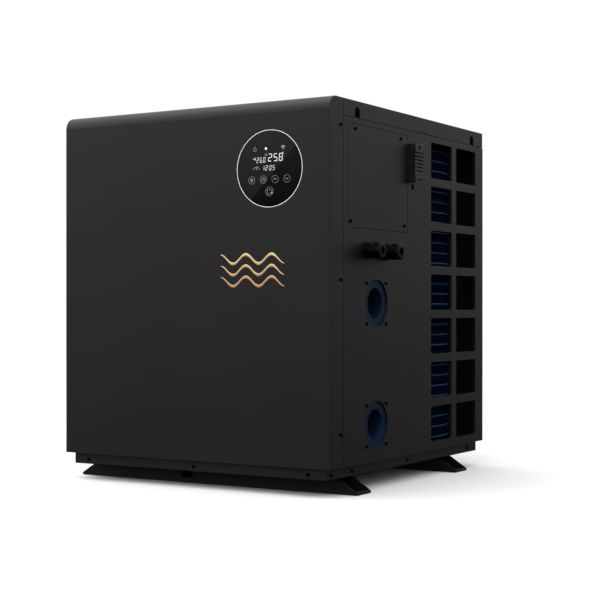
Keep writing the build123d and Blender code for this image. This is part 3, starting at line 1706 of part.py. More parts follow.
condenser_outlet_pipe = pipe(
    [
        (coil_outlet_x, port_y, exchanger_top + 1),
        (coil_outlet_x, port_y, condenser_run_z),
        (coil_outlet_x, expansion_y, condenser_run_z),
        (coil_outlet_x, expansion_y, expansion_port_z),
        (expansion_x + expansion_body + 1, expansion_y, expansion_port_z),
    ],
    pipe_size,
    pipe_wall,
    bend_corner,
)
evaporator_inlet_pipe = pipe(
    [
        (expansion_x, expansion_y, expansion_z + expansion_bore_depth - 2),
        (expansion_x, expansion_y, liquid_port[1]),
        (liquid_port[0], expansion_y, liquid_port[1]),
        (liquid_port[0], header_y - tube_radius - fit_gap, liquid_port[1]),
    ],
    pipe_size,
    pipe_wall,
    bend_corner,
)

with BuildPart() as liquid_pipes:
    add(condenser_outlet_pipe.part)
    add(evaporator_inlet_pipe.part)
    add(liquid_header.part)

liquid_pipes.part.label = "liquid_pipes"
export_step(liquid_pipes.part, "parts/liquid_pipes.step")

# ---- Electrical box behind the service cover, with its boards ----
box_left = 122
box_right = 246
box_front = from_front(65)
box_rear = from_front(236)
box_low = 396
box_high = 560
standoff = 8
standoff_spacing = (140, 132)
board_x = box_left + standoff
box_mid_y = (box_front + box_rear) / 2
box_mid_z = (box_low + box_high) / 2

with BuildPart() as electrical_box:
    with Locations((box_left, box_mid_y, box_mid_z)):
        Box(
            box_right - box_left,
            box_rear - box_front,
            box_high - box_low,
            align=(Align.MIN, Align.CENTER, Align.CENTER),
        )
    with Locations((box_left + sheet, box_mid_y, box_mid_z)):
        Box(
            box_right - box_left,
            box_rear - box_front - 2 * sheet,
            box_high - box_low - 2 * sheet,
            align=(Align.MIN, Align.CENTER, Align.CENTER),
            mode=Mode.SUBTRACT,
        )
    with BuildSketch(Plane.YZ.offset(box_left + sheet)):
        with Locations((box_mid_y, box_mid_z)):
            with GridLocations(*standoff_spacing, 2, 2):
                Rectangle(standoff, standoff)
    extrude(amount=board_x - box_left - sheet)

electrical_box.part.label = "electrical_box"
export_step(electrical_box.part, "parts/electrical_box.step")

board_face = Plane.YZ.offset(board_x)
board_size = (156, 146)
capacitor_radius = 10
capacitor_height = 30
capacitor_spots = [(box_mid_y - 50 + 24 * k, box_mid_z + 46) for k in range(4)]
relay_size = (13, 20)
relay_height = 15
relay_spots = [(box_mid_y - 58 + 20 * k, box_mid_z + 8) for k in range(6)]
filter_size = (36, 30)
filter_height = 18
filter_spot = (box_mid_y + 52, box_mid_z + 46)
chip_size = (18, 18)
chip_height = 2
chip_spots = [(box_mid_y - 30, box_mid_z - 30), (box_mid_y + 30, box_mid_z - 26)]

with BuildPart() as main_board:
    with BuildSketch(board_face):
        with Locations((box_mid_y, box_mid_z)):
            Rectangle(*board_size)
    extrude(amount=board_thickness)
    with BuildSketch(board_face.offset(board_thickness)):
        with Locations(*capacitor_spots):
            Circle(capacitor_radius)
    extrude(amount=capacitor_height)
    with BuildSketch(board_face.offset(board_thickness)):
        with Locations(*relay_spots):
            Rectangle(*relay_size)
    extrude(amount=relay_height)
    with BuildSketch(board_face.offset(board_thickness)):
        with Locations(filter_spot):
            Rectangle(*filter_size)
    extrude(amount=filter_height)
    with BuildSketch(board_face.offset(board_thickness)):
        with Locations(*chip_spots):
            Rectangle(*chip_size)
    extrude(amount=chip_height)

main_board.part.label = "main_board"
export_step(main_board.part, "parts/main_board.step")

terminal_block_x = box_right - 30
terminal_block_size = (24, 110, 18)
terminal_count = 9
terminal_pitch = 12
terminal_cell = (17, 9, 10)
terminal_cell_x = box_right - 26
terminal_start_y = box_mid_y - terminal_pitch * (terminal_count - 1) / 2
terminal_top = box_low + sheet + terminal_block_size[2]

with BuildPart() as terminal_block:
    with Locations((terminal_block_x, box_mid_y, box_low + sheet)):
        Box(*terminal_block_size, align=ON_FACE)
    for k in range(terminal_count):
        with Locations((terminal_cell_x, terminal_start_y + terminal_pitch * k, terminal_top)):
            Box(*terminal_cell, align=BELOW_FACE, mode=Mode.SUBTRACT)

terminal_block.part.label = "terminal_block"
export_step(terminal_block.part, "parts/terminal_block.step")

sink_plate = 4
sink_width = 120
sink_height = 110
sink_fin_count = 11
sink_fin_pitch = 11.5
sink_fin = 2
sink_fin_reach = 24
sink_start_y = box_mid_y - sink_fin_pitch * (sink_fin_count - 1) / 2

with BuildPart() as heat_sink:
    with Locations((box_left, box_mid_y, box_mid_z)):
        Box(sink_plate, sink_width, sink_height, align=(Align.MAX, Align.CENTER, Align.CENTER))
    for k in range(sink_fin_count):
        with Locations((box_left - sink_plate, sink_start_y + sink_fin_pitch * k, box_mid_z)):
            Box(sink_fin_reach, sink_fin, sink_height, align=(Align.MAX, Align.CENTER, Align.CENTER))

heat_sink.part.label = "heat_sink"
export_step(heat_sink.part, "parts/heat_sink.step")

# ---- Panel screws: one kind throughout, in one group ----
guard_spots = [
    (
        fan_x + guard_bolt_circle * cos((guard_bolt_angle + 90 * k) * pi / 180),
        fan_y + guard_bolt_circle * sin((guard_bolt_angle + 90 * k) * pi / 180),
    )
    for k in range(4)
]
cover_screws = screw_group(right_wall, cover_spots)
lid_screws = screw_group(right_wall.offset(-sheet - lap_gap), lid_spots)
pan_side_screws = screw_group(right_wall.offset(pan_half_width - half_width), pan_side_spots)
pan_front_screws = screw_group(front_wall.offset(front_y - pan_front), pan_front_spots)
service_screws = screw_group(right_wall, service_spots)
collar_screws = screw_group(right_wall, port_bolt_spots)
sensor_screw = screw_group(right_wall.offset(sensor_wall), [(sensor_y, sensor_bolt_z)])
rear_screws = screw_group(rear_wall, rear_spots)
guard_screws = screw_group(lid_top.offset(guard_flange_thickness), guard_spots)
bracket_screws = screw_group(Plane.XY.offset(deck_z + sheet), bracket_bolt_spots)

with BuildPart() as panel_screws:
    for both_sides in (cover_screws, lid_screws, pan_side_screws):
        add(both_sides.part)
    mirror(about=Plane.YZ)
    for one_side in (
        pan_front_screws,
        service_screws,
        collar_screws,
        sensor_screw,
        rear_screws,
        guard_screws,
        bracket_screws,
    ):
        add(one_side.part)

panel_screws.part.label = "panel_screws"
export_step(panel_screws.part, "parts/panel_screws.step")
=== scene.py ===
import json
import math

import bmesh
import bpy
from mathutils import Matrix, Vector


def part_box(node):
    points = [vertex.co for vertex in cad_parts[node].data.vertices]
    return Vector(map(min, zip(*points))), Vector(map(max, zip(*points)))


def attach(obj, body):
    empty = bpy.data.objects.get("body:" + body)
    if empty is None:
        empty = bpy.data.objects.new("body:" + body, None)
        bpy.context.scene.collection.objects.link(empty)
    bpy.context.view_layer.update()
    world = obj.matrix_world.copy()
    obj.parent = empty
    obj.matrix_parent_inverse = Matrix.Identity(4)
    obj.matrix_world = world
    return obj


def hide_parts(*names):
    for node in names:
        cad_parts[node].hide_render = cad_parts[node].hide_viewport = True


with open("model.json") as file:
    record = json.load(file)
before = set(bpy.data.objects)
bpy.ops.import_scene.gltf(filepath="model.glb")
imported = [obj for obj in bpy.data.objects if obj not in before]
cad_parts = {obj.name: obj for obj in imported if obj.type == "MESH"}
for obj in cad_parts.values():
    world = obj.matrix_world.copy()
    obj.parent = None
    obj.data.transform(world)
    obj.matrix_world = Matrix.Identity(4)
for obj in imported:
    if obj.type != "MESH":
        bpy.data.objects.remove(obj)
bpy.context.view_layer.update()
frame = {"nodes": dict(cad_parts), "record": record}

MM = 0.001
scene = bpy.context.scene

# ---------------------------------------------------------------------------------------------
# Places that the frame gives
# ---------------------------------------------------------------------------------------------
lid_low, lid_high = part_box("top_lid")
glass_low, glass_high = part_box("display_glass")
emblem_low, emblem_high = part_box("front_emblem")
fins_low, fins_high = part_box("evaporator_fins")
guard_low, guard_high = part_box("fan_guard")

display_centre = (glass_low + glass_high) / 2
emblem_centre = (emblem_low + emblem_high) / 2
guard_centre = (guard_low + guard_high) / 2
front_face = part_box("front_cover")[0].y
side_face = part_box("right_side_panel")[1].x
lid_face = lid_high.z


# ---------------------------------------------------------------------------------------------
# Node helpers
# ---------------------------------------------------------------------------------------------
class Shader:
    """A material with one Principled shader, and short calls that add and join its nodes."""

    def __init__(self, name):
        self.material = bpy.data.materials.new(name)
        self.material.use_nodes = True
        self.nodes = self.material.node_tree.nodes
        self.links = self.material.node_tree.links
        self.surface = self.nodes["Principled BSDF"]
        self.place = self.nodes.new("ShaderNodeTexCoord").outputs["Object"]

    def set(self, **values):
        for key, value in values.items():
            self.surface.inputs[key.replace("_", " ")].default_value = value

    def join(self, output, target):
        self.links.new(output, target)

    def noise(self, scale, detail=3.0, roughness=0.5, stretch=None):
        texture = self.nodes.new("ShaderNodeTexNoise")
        texture.inputs["Scale"].default_value = scale
        texture.inputs["Detail"].default_value = detail
        texture.inputs["Roughness"].default_value = roughness
        place = self.place
        if stretch:
            mapping = self.nodes.new("ShaderNodeMapping")
            mapping.inputs["Scale"].default_value = stretch
            self.join(self.place, mapping.inputs["Vector"])
            place = mapping.outputs["Vector"]
        self.join(place, texture.inputs["Vector"])
        return texture.outputs["Fac"]

    def cells(self, scale):
        texture = self.nodes.new("ShaderNodeTexVoronoi")
        texture.inputs["Scale"].default_value = scale
        self.join(self.place, texture.inputs["Vector"])
        return texture.outputs["Distance"]

    def spread(self, value, low, high, out_low=0.0, out_high=1.0):
        """Maps a value from low..high to out_low..out_high, held at the ends."""
        node = self.nodes.new("ShaderNodeMapRange")
        node.inputs["From Min"].default_value = low
        node.inputs["From Max"].default_value = high
        node.inputs["To Min"].default_value = out_low
        node.inputs["To Max"].default_value = out_high
        self.join(value, node.inputs["Value"])
        return node.outputs["Result"]

    def math(self, operation, first, second=None):
        node = self.nodes.new("ShaderNodeMath")
        node.operation = operation
        for slot, value in enumerate((first, second)):
            if value is None:
                continue
            if isinstance(value, (int, float)):
                node.inputs[slot].default_value = value
            else:
                self.join(value, node.inputs[slot])
        return node.outputs["Value"]

    def blend(self, factor, first, second):
        """Mixes two colours, each a colour or an output."""
        node = self.nodes.new("ShaderNodeMix")
        node.data_type = "RGBA"
        self.join(factor, node.inputs["Factor"])
        for socket, value in (("A", first), ("B", second)):
            target = [s for s in node.inputs if s.name == socket and s.type == "RGBA"][0]
            if isinstance(value, tuple):
                target.default_value = (*value, 1.0)
            else:
                self.join(value, target)
        return [s for s in node.outputs if s.type == "RGBA"][0]

    def facing_up(self):
        """1 on surfaces that face up, falling to 0 on upright ones."""
        normal = self.nodes.new("ShaderNodeNewGeometry").outputs["Normal"]
        split = self.nodes.new("ShaderNodeSeparateXYZ")
        self.join(normal, split.inputs["Vector"])
        return self.spread(split.outputs["Z"], 0.35, 0.95)

    def edges(self, radius):
        """1 at sharp edges and 0 on flat ground."""
        bevel = self.nodes.new("ShaderNodeBevel")
        bevel.samples = 4
        bevel.inputs["Radius"].default_value = radius
        normal = self.nodes.new("ShaderNodeNewGeometry").outputs["Normal"]
        dot = self.nodes.new("ShaderNodeVectorMath")
        dot.operation = "DOT_PRODUCT"
        self.join(bevel.outputs["Normal"], dot.inputs[0])
        self.join(normal, dot.inputs[1])
        return self.spread(dot.outputs["Value"], 0.995, 0.85)

    def colour(self, output):
        self.join(output, self.surface.inputs["Base Color"])

    def rough(self, output):
        self.join(output, self.surface.inputs["Roughness"])

    def bump(self, *layers):
        """Layers of (height, strength, distance), one on top of the other."""
        below = None
        for height, strength, distance in layers:
            node = self.nodes.new("ShaderNodeBump")
            node.inputs["Strength"].default_value = strength
            node.inputs["Distance"].default_value = distance
            self.join(height, node.inputs["Height"])
            if below:
                self.join(below, node.inputs["Normal"])
            below = node.outputs["Normal"]
        self.join(below, self.surface.inputs["Normal"])


def shade(colour, factor):
    return tuple(channel * factor for channel in colour)


# ---------------------------------------------------------------------------------------------
# Materials
# ---------------------------------------------------------------------------------------------
DUST = (0.10, 0.097, 0.09)


def powder_coat(name, colour, roughness, grain=1100.0, specular=0.3, dust=0.05):
    """Satin powder coat: fine orange peel, slow mottling, lighter edges (thin paint there, and a painted
    edge highlight), dust on top.
    """
    s = Shader(name)
    mottle = s.spread(s.noise(7.0, 5.0), 0.3, 0.7)
    fine = s.noise(grain, 2.0)
    paint = s.blend(mottle, shade(colour, 0.86), shade(colour, 1.14))
    speckle = s.spread(s.noise(grain * 0.6, 1.0), 0.62, 0.75, 0.0, 0.35)
    paint = s.blend(speckle, paint, shade(colour, 1.9))
    # lighter edges: thin paint there, and a painted edge highlight
    paint = s.blend(s.math("MULTIPLY", s.edges(0.0012), 0.5), paint, shade(colour, 2.6))
    settled = s.math("MULTIPLY", s.facing_up(), s.spread(s.noise(90.0, 8.0, 0.7), 0.35, 0.8, 0.0, dust))
    s.colour(s.blend(settled, paint, DUST))
    uneven = s.spread(s.noise(9.0, 3.0), 0.25, 0.75, roughness - 0.01, roughness + 0.015)
    s.rough(s.math("ADD", uneven, s.math("MULTIPLY", settled, 0.3)))
    s.bump((s.noise(2.2, 1.0), 0.12, 0.002), (fine, 0.22, 0.00012))
    s.set(Specular_IOR_Level=specular)
    return s.material


def moulded_plastic(name, colour, roughness, grain=2200.0, specular=0.4, dust=0.05):
    """Moulded plastic: spark-eroded grain, faint flow marks and lighter edges, a painted edge highlight.
    """
    s = Shader(name)
    flow = s.spread(s.noise(24.0, 4.0, 0.6, (1.0, 1.0, 0.35)), 0.3, 0.7)
    body = s.blend(flow, shade(colour, 0.85), shade(colour, 1.12))
    # lighter edges: a painted edge highlight
    body = s.blend(s.math("MULTIPLY", s.edges(0.0006), 0.4), body, shade(colour, 2.2))
    settled = s.math("MULTIPLY", s.facing_up(), s.spread(s.noise(60.0, 5.0), 0.5, 0.8, 0.0, dust))
    s.colour(s.blend(settled, body, DUST))
    s.rough(s.spread(s.noise(40.0, 4.0), 0.3, 0.7, roughness - 0.05, roughness + 0.06))
    s.bump((s.cells(grain), 0.12, 0.00008), (s.noise(160.0, 3.0), 0.05, 0.0002))
    s.set(Specular_IOR_Level=specular)
    return s.material


def bare_metal(name, colour, roughness, stretch=(1.0, 1.0, 14.0), tarnish=(0.35, 0.3, 0.25), amount=0.2):
    """Bare metal: drawn or rolled streaks, and a little tarnish in patches."""
    s = Shader(name)
    streak = s.noise(90.0, 4.0, 0.6, stretch)
    patches = s.spread(s.noise(18.0, 6.0, 0.7), 0.52, 0.75, 0.0, amount)
    body = s.blend(s.spread(streak, 0.3, 0.7), shade(colour, 0.88), shade(colour, 1.08))
    s.colour(s.blend(patches, body, tarnish))
    s.rough(s.math("ADD", s.spread(streak, 0.3, 0.7, roughness - 0.06, roughness + 0.06), patches))
    s.bump((streak, 0.08, 0.0002), (s.noise(700.0, 2.0), 0.06, 0.0001))
    s.set(Metallic=1.0)
    return s.material


def galvanised(name):
    """Zinc spangle: large soft-edged crystals, each with its own shade and gloss."""
    s = Shader(name)
    crystal = s.nodes.new("ShaderNodeTexVoronoi")
    crystal.inputs["Scale"].default_value = 130.0
    s.join(s.place, crystal.inputs["Vector"])
    split = s.nodes.new("ShaderNodeSeparateColor")
    s.join(crystal.outputs["Color"], split.inputs["Color"])
    s.colour(s.blend(split.outputs["Red"], (0.33, 0.34, 0.35), (0.5, 0.51, 0.53)))
    s.rough(s.spread(split.outputs["Green"], 0.0, 1.0, 0.32, 0.5))
    s.bump((crystal.outputs["Distance"], 0.05, 0.0003), (s.noise(400.0, 2.0), 0.05, 0.0001))
    s.set(Metallic=1.0)
    return s.material


def fin_coating(name, colour, roughness):
    """Aluminium fins under a blue hydrophilic film that pools darker in places."""
    s = Shader(name)
    film = s.spread(s.noise(30.0, 4.0, 0.6, (1.0, 1.0, 0.4)), 0.3, 0.7)
    rows = s.noise(420.0, 2.0, 0.5, (1.0, 1.0, 0.15))
    body = s.blend(film, shade(colour, 0.8), shade(colour, 1.25))
    s.colour(s.blend(s.spread(rows, 0.45, 0.75, 0.0, 0.4), body, shade(colour, 1.8)))
    s.rough(s.spread(film, 0.0, 1.0, roughness - 0.06, roughness + 0.08))
    s.bump((rows, 0.1, 0.0002))
    s.set(Metallic=0.2, Specular_IOR_Level=0.12)
    return s.material


REFLECTION_LINE_OFFSET = 9.6 * MM
REFLECTION_LINE_BLUR = 0.6 * MM


def display_glass_material():
    """Black printed glass: deep black below a diagonal line, and greyer above it, where a reflection is
    painted into the colour.
    """
    s = Shader("glass_with_painted_reflection")
    slope = Vector((1.0, 1.0)).normalized()
    offset = s.nodes.new("ShaderNodeVectorMath")
    offset.operation = "DOT_PRODUCT"
    offset.inputs[1].default_value = (-slope.y, 0.0, slope.x)
    s.join(s.place, offset.inputs[0])
    # painted reflection: the colour turns greyer above a diagonal line across the glass
    line = -display_centre.x * slope.y + display_centre.z * slope.x - REFLECTION_LINE_OFFSET
    painted_reflection_mask = s.spread(offset.outputs["Value"], line - REFLECTION_LINE_BLUR, line + REFLECTION_LINE_BLUR)
    smear = s.spread(s.noise(55.0, 6.0, 0.7, (1.0, 1.0, 0.5)), 0.5, 0.8, 0.0, 0.25)
    ink_and_painted_reflection = s.blend(painted_reflection_mask, (0.0006, 0.0006, 0.0007), (0.0115, 0.0117, 0.0117))
    s.colour(s.blend(smear, ink_and_painted_reflection, (0.009, 0.009, 0.0092)))
    s.rough(s.spread(s.noise(70.0, 5.0, 0.7), 0.45, 0.75, 0.28, 0.4))
    s.bump((s.noise(9.0, 2.0), 0.03, 0.001))
    s.set(Specular_IOR_Level=0.1)
    return s.material


def lit_print(name, strength, tint=(0.92, 0.96, 1.0)):
    """Backlit print, a little uneven from the lamps behind it."""
    s = Shader(name)
    uneven = s.spread(s.noise(260.0, 2.0), 0.3, 0.7)
    glow = s.blend(uneven, shade(tint, 0.82), tint)
    s.colour(glow)
    s.join(glow, s.surface.inputs["Emission Color"])
    s.rough(s.spread(uneven, 0.0, 1.0, 0.35, 0.5))
    s.set(Emission_Strength=strength)
    return s.material


def gold_leaf():
    """Satin gold that turns to copper downwards, with a brushed grain."""
    s = Shader("gold_trim")
    split = s.nodes.new("ShaderNodeSeparateXYZ")
    s.join(s.place, split.inputs["Vector"])
    across = s.spread(split.outputs["Z"], emblem_low.z, emblem_high.z)
    brushed = s.noise(500.0, 3.0, 0.6, (0.05, 1.0, 1.0))
    body = s.blend(across, (0.58, 0.27, 0.11), (0.86, 0.62, 0.3))
    s.colour(s.blend(s.spread(brushed, 0.35, 0.7, 0.0, 0.3), body, (0.95, 0.78, 0.5)))
    s.rough(s.spread(brushed, 0.3, 0.7, 0.3, 0.45))
    s.bump((brushed, 0.08, 0.0001))
    s.set(Metallic=0.75)
    return s.material


def circuit_board():
    """Green solder mask over copper tracks."""
    s = Shader("circuit_board")
    tracks = s.spread(s.cells(260.0), 0.28, 0.34)
    s.colour(s.blend(tracks, (0.012, 0.085, 0.03), (0.02, 0.13, 0.05)))
    s.rough(s.spread(s.noise(90.0, 3.0), 0.3, 0.7, 0.3, 0.45))
    s.bump((tracks, 0.15, 0.0001))
    return s.material


CABINET = (0.006, 0.006, 0.006)
finishes = {
    "cabinet_paint": powder_coat("cabinet_paint", CABINET, 0.42, specular=0.3),
    "rail_paint": powder_coat("rail_paint", (0.0035, 0.0035, 0.0036), 0.55, specular=0.2, dust=0.12),
    "guard_paint": powder_coat("guard_paint", (0.006, 0.006, 0.006), 0.38, 900.0),
    "machine_paint": powder_coat("machine_paint", (0.008, 0.008, 0.009), 0.3, 400.0, 0.5),
    "motor_paint": powder_coat("motor_paint", (0.1, 0.1, 0.105), 0.4, 600.0, 0.5),
    "zinc_steel": bare_metal("zinc_steel", (0.55, 0.54, 0.5), 0.35),
    "galvanised_steel": galvanised("galvanised_steel"),
    "paddle_steel": bare_metal("paddle_steel", (0.6, 0.6, 0.6), 0.25),
    "black_screw": powder_coat("black_screw", (0.0004, 0.0004, 0.0004), 0.6, 900.0, 0.03, 0.0),
    "black_plastic": moulded_plastic("black_plastic", (0.0055, 0.0055, 0.006), 0.42),
    "gland_plastic": moulded_plastic("gland_plastic", (0.002, 0.002, 0.002), 0.4, specular=0.13),
    "blue_plastic": moulded_plastic("blue_plastic", (0.0012, 0.013, 0.036), 0.42, specular=0.12),
    "fan_plastic": moulded_plastic("fan_plastic", (0.012, 0.012, 0.013), 0.45),
    "grey_pvc": moulded_plastic("grey_pvc", (0.2, 0.21, 0.22), 0.4),
    "rubber": moulded_plastic("rubber", (0.001, 0.001, 0.001), 0.8, 1500.0, 0.02, 0.0),
    "display_ring": lit_print("display_ring", 1.35, (0.8, 0.81, 0.82)),
    "display_glass": display_glass_material(),
    "circuit_board": circuit_board(),
    "gold_trim": gold_leaf(),
    "blue_fins": fin_coating("blue_fins", (0.0002, 0.0045, 0.034), 0.5),
    "copper": bare_metal("copper", (0.62, 0.3, 0.18), 0.3, tarnish=(0.25, 0.12, 0.07), amount=0.45),
    "titanium": bare_metal("titanium", (0.42, 0.4, 0.38), 0.35),
    "brass": bare_metal("brass", (0.62, 0.47, 0.22), 0.3, tarnish=(0.3, 0.22, 0.1), amount=0.3),
    "heat_sink_metal": bare_metal("heat_sink_metal", (0.62, 0.62, 0.63), 0.35),
}
band_finish = fin_coating("blue_bands", (0.003, 0.05, 0.11), 0.4)
icon_finish = lit_print("lit_icons", 0.95, (0.75, 0.76, 0.77))
dim_icon_finish = lit_print("dim_icons", 0.5, (0.38, 0.39, 0.4))

# ---------------------------------------------------------------------------------------------
# The CAD nodes that show as they are: finish and softened edges
# ---------------------------------------------------------------------------------------------
slot_of = {row["node"]: row["material_slot"] for row in frame["record"]["subparts"]}
edge_softness = {
    "front_foot_rail": 0.35,
    "rear_foot_rail": 0.35,
    "sensor_box": 0.25,
    "gland_bodies": 0.3,
    "gland_locknuts": 0.3,
    "water_collars": 0.4,
}

for node, thing in frame["nodes"].items():
    thing.data.materials.clear()
    thing.data.materials.append(finishes[slot_of[node]])
    if node in edge_softness:
        weld = thing.modifiers.new("weld", "WELD")
        weld.merge_threshold = 0.00001
        bevel = thing.modifiers.new("softened", "BEVEL")
        bevel.width = edge_softness[node] * MM
        bevel.segments = 2
        bevel.limit_method = "ANGLE"
        bevel.angle_limit = math.radians(35)
        bevel.harden_normals = True


# ---------------------------------------------------------------------------------------------
# Mesh helpers
# ---------------------------------------------------------------------------------------------
def piece(name, mesh, finish, body, replaced=(), smooth=35):
    """A new piece of the object, from a bmesh."""
    bmesh.ops.recalc_face_normals(mesh, faces=mesh.faces)
    data = bpy.data.meshes.new(name)
    mesh.to_mesh(data)
    mesh.free()
    data.materials.append(finish)
    data.shade_smooth()
    data.set_sharp_from_angle(angle=math.radians(smooth))
    thing = bpy.data.objects.new(name, data)
    scene.collection.objects.link(thing)
    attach(thing, body)
    if replaced:
        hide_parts(*replaced)
    return thing


def lathe(mesh, profile, centre, axis, steps=96, closed=True):
    """Turns a profile of (radius, height along the axis) points round an axis through centre."""
    turn = Vector((0, 0, 1)).rotation_difference(Vector(axis)).to_matrix()
    rings = []
    for k in range(steps):
        angle = 2 * math.pi * k / steps
        spoke = Vector((math.cos(angle), math.sin(angle), 0))
        spots = [turn @ (spoke * radius + Vector((0, 0, height))) for radius, height in profile]
        rings.append([mesh.verts.new(Vector(centre) + spot) for spot in spots])
    spans = len(profile) if closed else len(profile) - 1
    for k in range(steps):
        here, there = rings[k], rings[(k + 1) % steps]
        for i in range(spans):
            j = (i + 1) % len(profile)
            mesh.faces.new((here[i], here[j], there[j], there[i]))


def tube(mesh, points, radius, sides=10, closed=False):
    """A round rod along points; a closed one joins its end to its start."""
    count = len(points)
    rings = []
    for k, point in enumerate(points):
        before = points[(k - 1) % count] if closed or k else points[0]
        after = points[(k + 1) % count] if closed or k < count - 1 else points[-1]
        along = (Vector(after) - Vector(before)).normalized()
        side = along.cross(Vector((0, 0, 1)))
        side = side.normalized() if side.length > 0.1 else Vector((1, 0, 0))
        up = side.cross(along).normalized()
        angles = [2 * math.pi * i / sides for i in range(sides)]
        spokes = [math.cos(angle) * side + math.sin(angle) * up for angle in angles]
        rings.append([mesh.verts.new(Vector(point) + radius * spoke) for spoke in spokes])
    for k in range(count if closed else count - 1):
        here, there = rings[k], rings[(k + 1) % count]
        for i in range(sides):
            j = (i + 1) % sides
            mesh.faces.new((here[i], here[j], there[j], there[i]))
    if not closed:
        mesh.faces.new(rings[0])
        mesh.faces.new(list(reversed(rings[-1])))


def circle_points(centre, radius, steps):
    """Points of a level circle."""
    angles = [2 * math.pi * k / steps for k in range(steps)]
    return [
        Vector((centre[0] + radius * math.cos(angle), centre[1] + radius * math.sin(angle), centre[2]))
        for angle in angles
    ]


# ---------------------------------------------------------------------------------------------
# Evaporator: corrugated fins round the U, with a raised band at every tube row
# ---------------------------------------------------------------------------------------------
FIN_PITCH = 2.1 * MM
FIN_THICKNESS = 0.18 * MM
FIN_WAVE = 0.45 * MM
FIN_FOLDS = 6
COIL_DEPTH = 20 * MM
COIL_BEND = 94 * MM
TUBE_PITCH = 17.35 * MM
TUBE_COUNT = 30
BAND_RADIUS = 1.5 * MM
BAND_SUNK = 0.3 * MM
BAND_STEPS = 150
LOWEST_TUBE_RISE = 8.7 * MM
NEARLY_THE_END = 0.9999

coil_x = fins_high.x - COIL_DEPTH / 2
coil_rear = fins_high.y - COIL_DEPTH / 2
coil_front = fins_low.y
lowest_tube = fins_low.z + LOWEST_TUBE_RISE


def coil_point(distance):
    """A point of the coil's centre line and its outward direction, at a distance from the right end."""
    straight = coil_rear - COIL_BEND - coil_front
    quarter = math.pi / 2 * COIL_BEND
    rear = 2 * (coil_x - COIL_BEND)
    if distance < straight:
        return Vector((coil_x, coil_front + distance, 0)), Vector((1, 0, 0))
    distance -= straight
    if distance < quarter:
        angle = distance / COIL_BEND
        out = Vector((math.cos(angle), math.sin(angle), 0))
        return Vector((coil_x - COIL_BEND, coil_rear - COIL_BEND, 0)) + COIL_BEND * out, out
    distance -= quarter
    if distance < rear:
        return Vector((coil_x - COIL_BEND - distance, coil_rear, 0)), Vector((0, 1, 0))
    distance -= rear
    if distance < quarter:
        angle = math.pi / 2 + distance / COIL_BEND
        out = Vector((math.cos(angle), math.sin(angle), 0))
        return Vector((-coil_x + COIL_BEND, coil_rear - COIL_BEND, 0)) + COIL_BEND * out, out
    distance -= quarter
    return Vector((-coil_x, coil_rear - COIL_BEND - distance, 0)), Vector((-1, 0, 0))


coil_length = 2 * (coil_rear - COIL_BEND - coil_front) + math.pi * COIL_BEND + 2 * (coil_x - COIL_BEND)


def build_fins():
    mesh = bmesh.new()
    count = int(coil_length / FIN_PITCH)
    for fin in range(count):
        centre, out = coil_point((fin + 0.5) * FIN_PITCH)
        along = Vector((-out.y, out.x, 0))
        columns = []
        for fold in range(FIN_FOLDS + 1):
            depth = (fold / FIN_FOLDS - 0.5) * COIL_DEPTH
            wave = FIN_WAVE * (fold % 2 - 0.5)
            foot = centre + out * depth + along * wave
            columns.append(
                [
                    mesh.verts.new(foot + along * side * FIN_THICKNESS / 2 + Vector((0, 0, z)))
                    for z in (fins_low.z, fins_high.z)
                    for side in (-1, 1)
                ]
            )
        for near, far in zip(columns, columns[1:]):
            mesh.faces.new((near[0], far[0], far[2], near[2]))
            mesh.faces.new((near[1], near[3], far[3], far[1]))
            mesh.faces.new((near[2], far[2], far[3], near[3]))
            mesh.faces.new((near[0], near[1], far[1], far[0]))
        mesh.faces.new((columns[0][0], columns[0][2], columns[0][3], columns[0][1]))
        mesh.faces.new((columns[-1][0], columns[-1][1], columns[-1][3], columns[-1][2]))
    piece("coil_fins", mesh, finishes["blue_fins"], "cabinet", ["evaporator_fins"], 20)


def build_bands():
    mesh = bmesh.new()
    for row in range(TUBE_COUNT):
        height = Vector((0, 0, lowest_tube + row * TUBE_PITCH))
        route = []
        for k in range(BAND_STEPS + 1):
            centre, out = coil_point(coil_length * min(k / BAND_STEPS, NEARLY_THE_END))
            route.append(centre + out * (COIL_DEPTH / 2 - BAND_SUNK) + height)
        tube(mesh, route, BAND_RADIUS, 8)
    piece("coil_bands", mesh, band_finish, "cabinet")


build_fins()
build_bands()

# ---------------------------------------------------------------------------------------------
# Fan guard: welded round wires on a flat ring
# ---------------------------------------------------------------------------------------------
WIRE = 1.5 * MM
GUARD_RIM = 128.5 * MM
GUARD_FLANGE = 143 * MM
GUARD_RINGS = 11
GUARD_SPOKES = 8
GUARD_EYE = 14 * MM
GUARD_HUB = 13.2 * MM
SPOKE_START = 8 * MM
SPOKE_STEPS = 12
FINE_TURN = 144


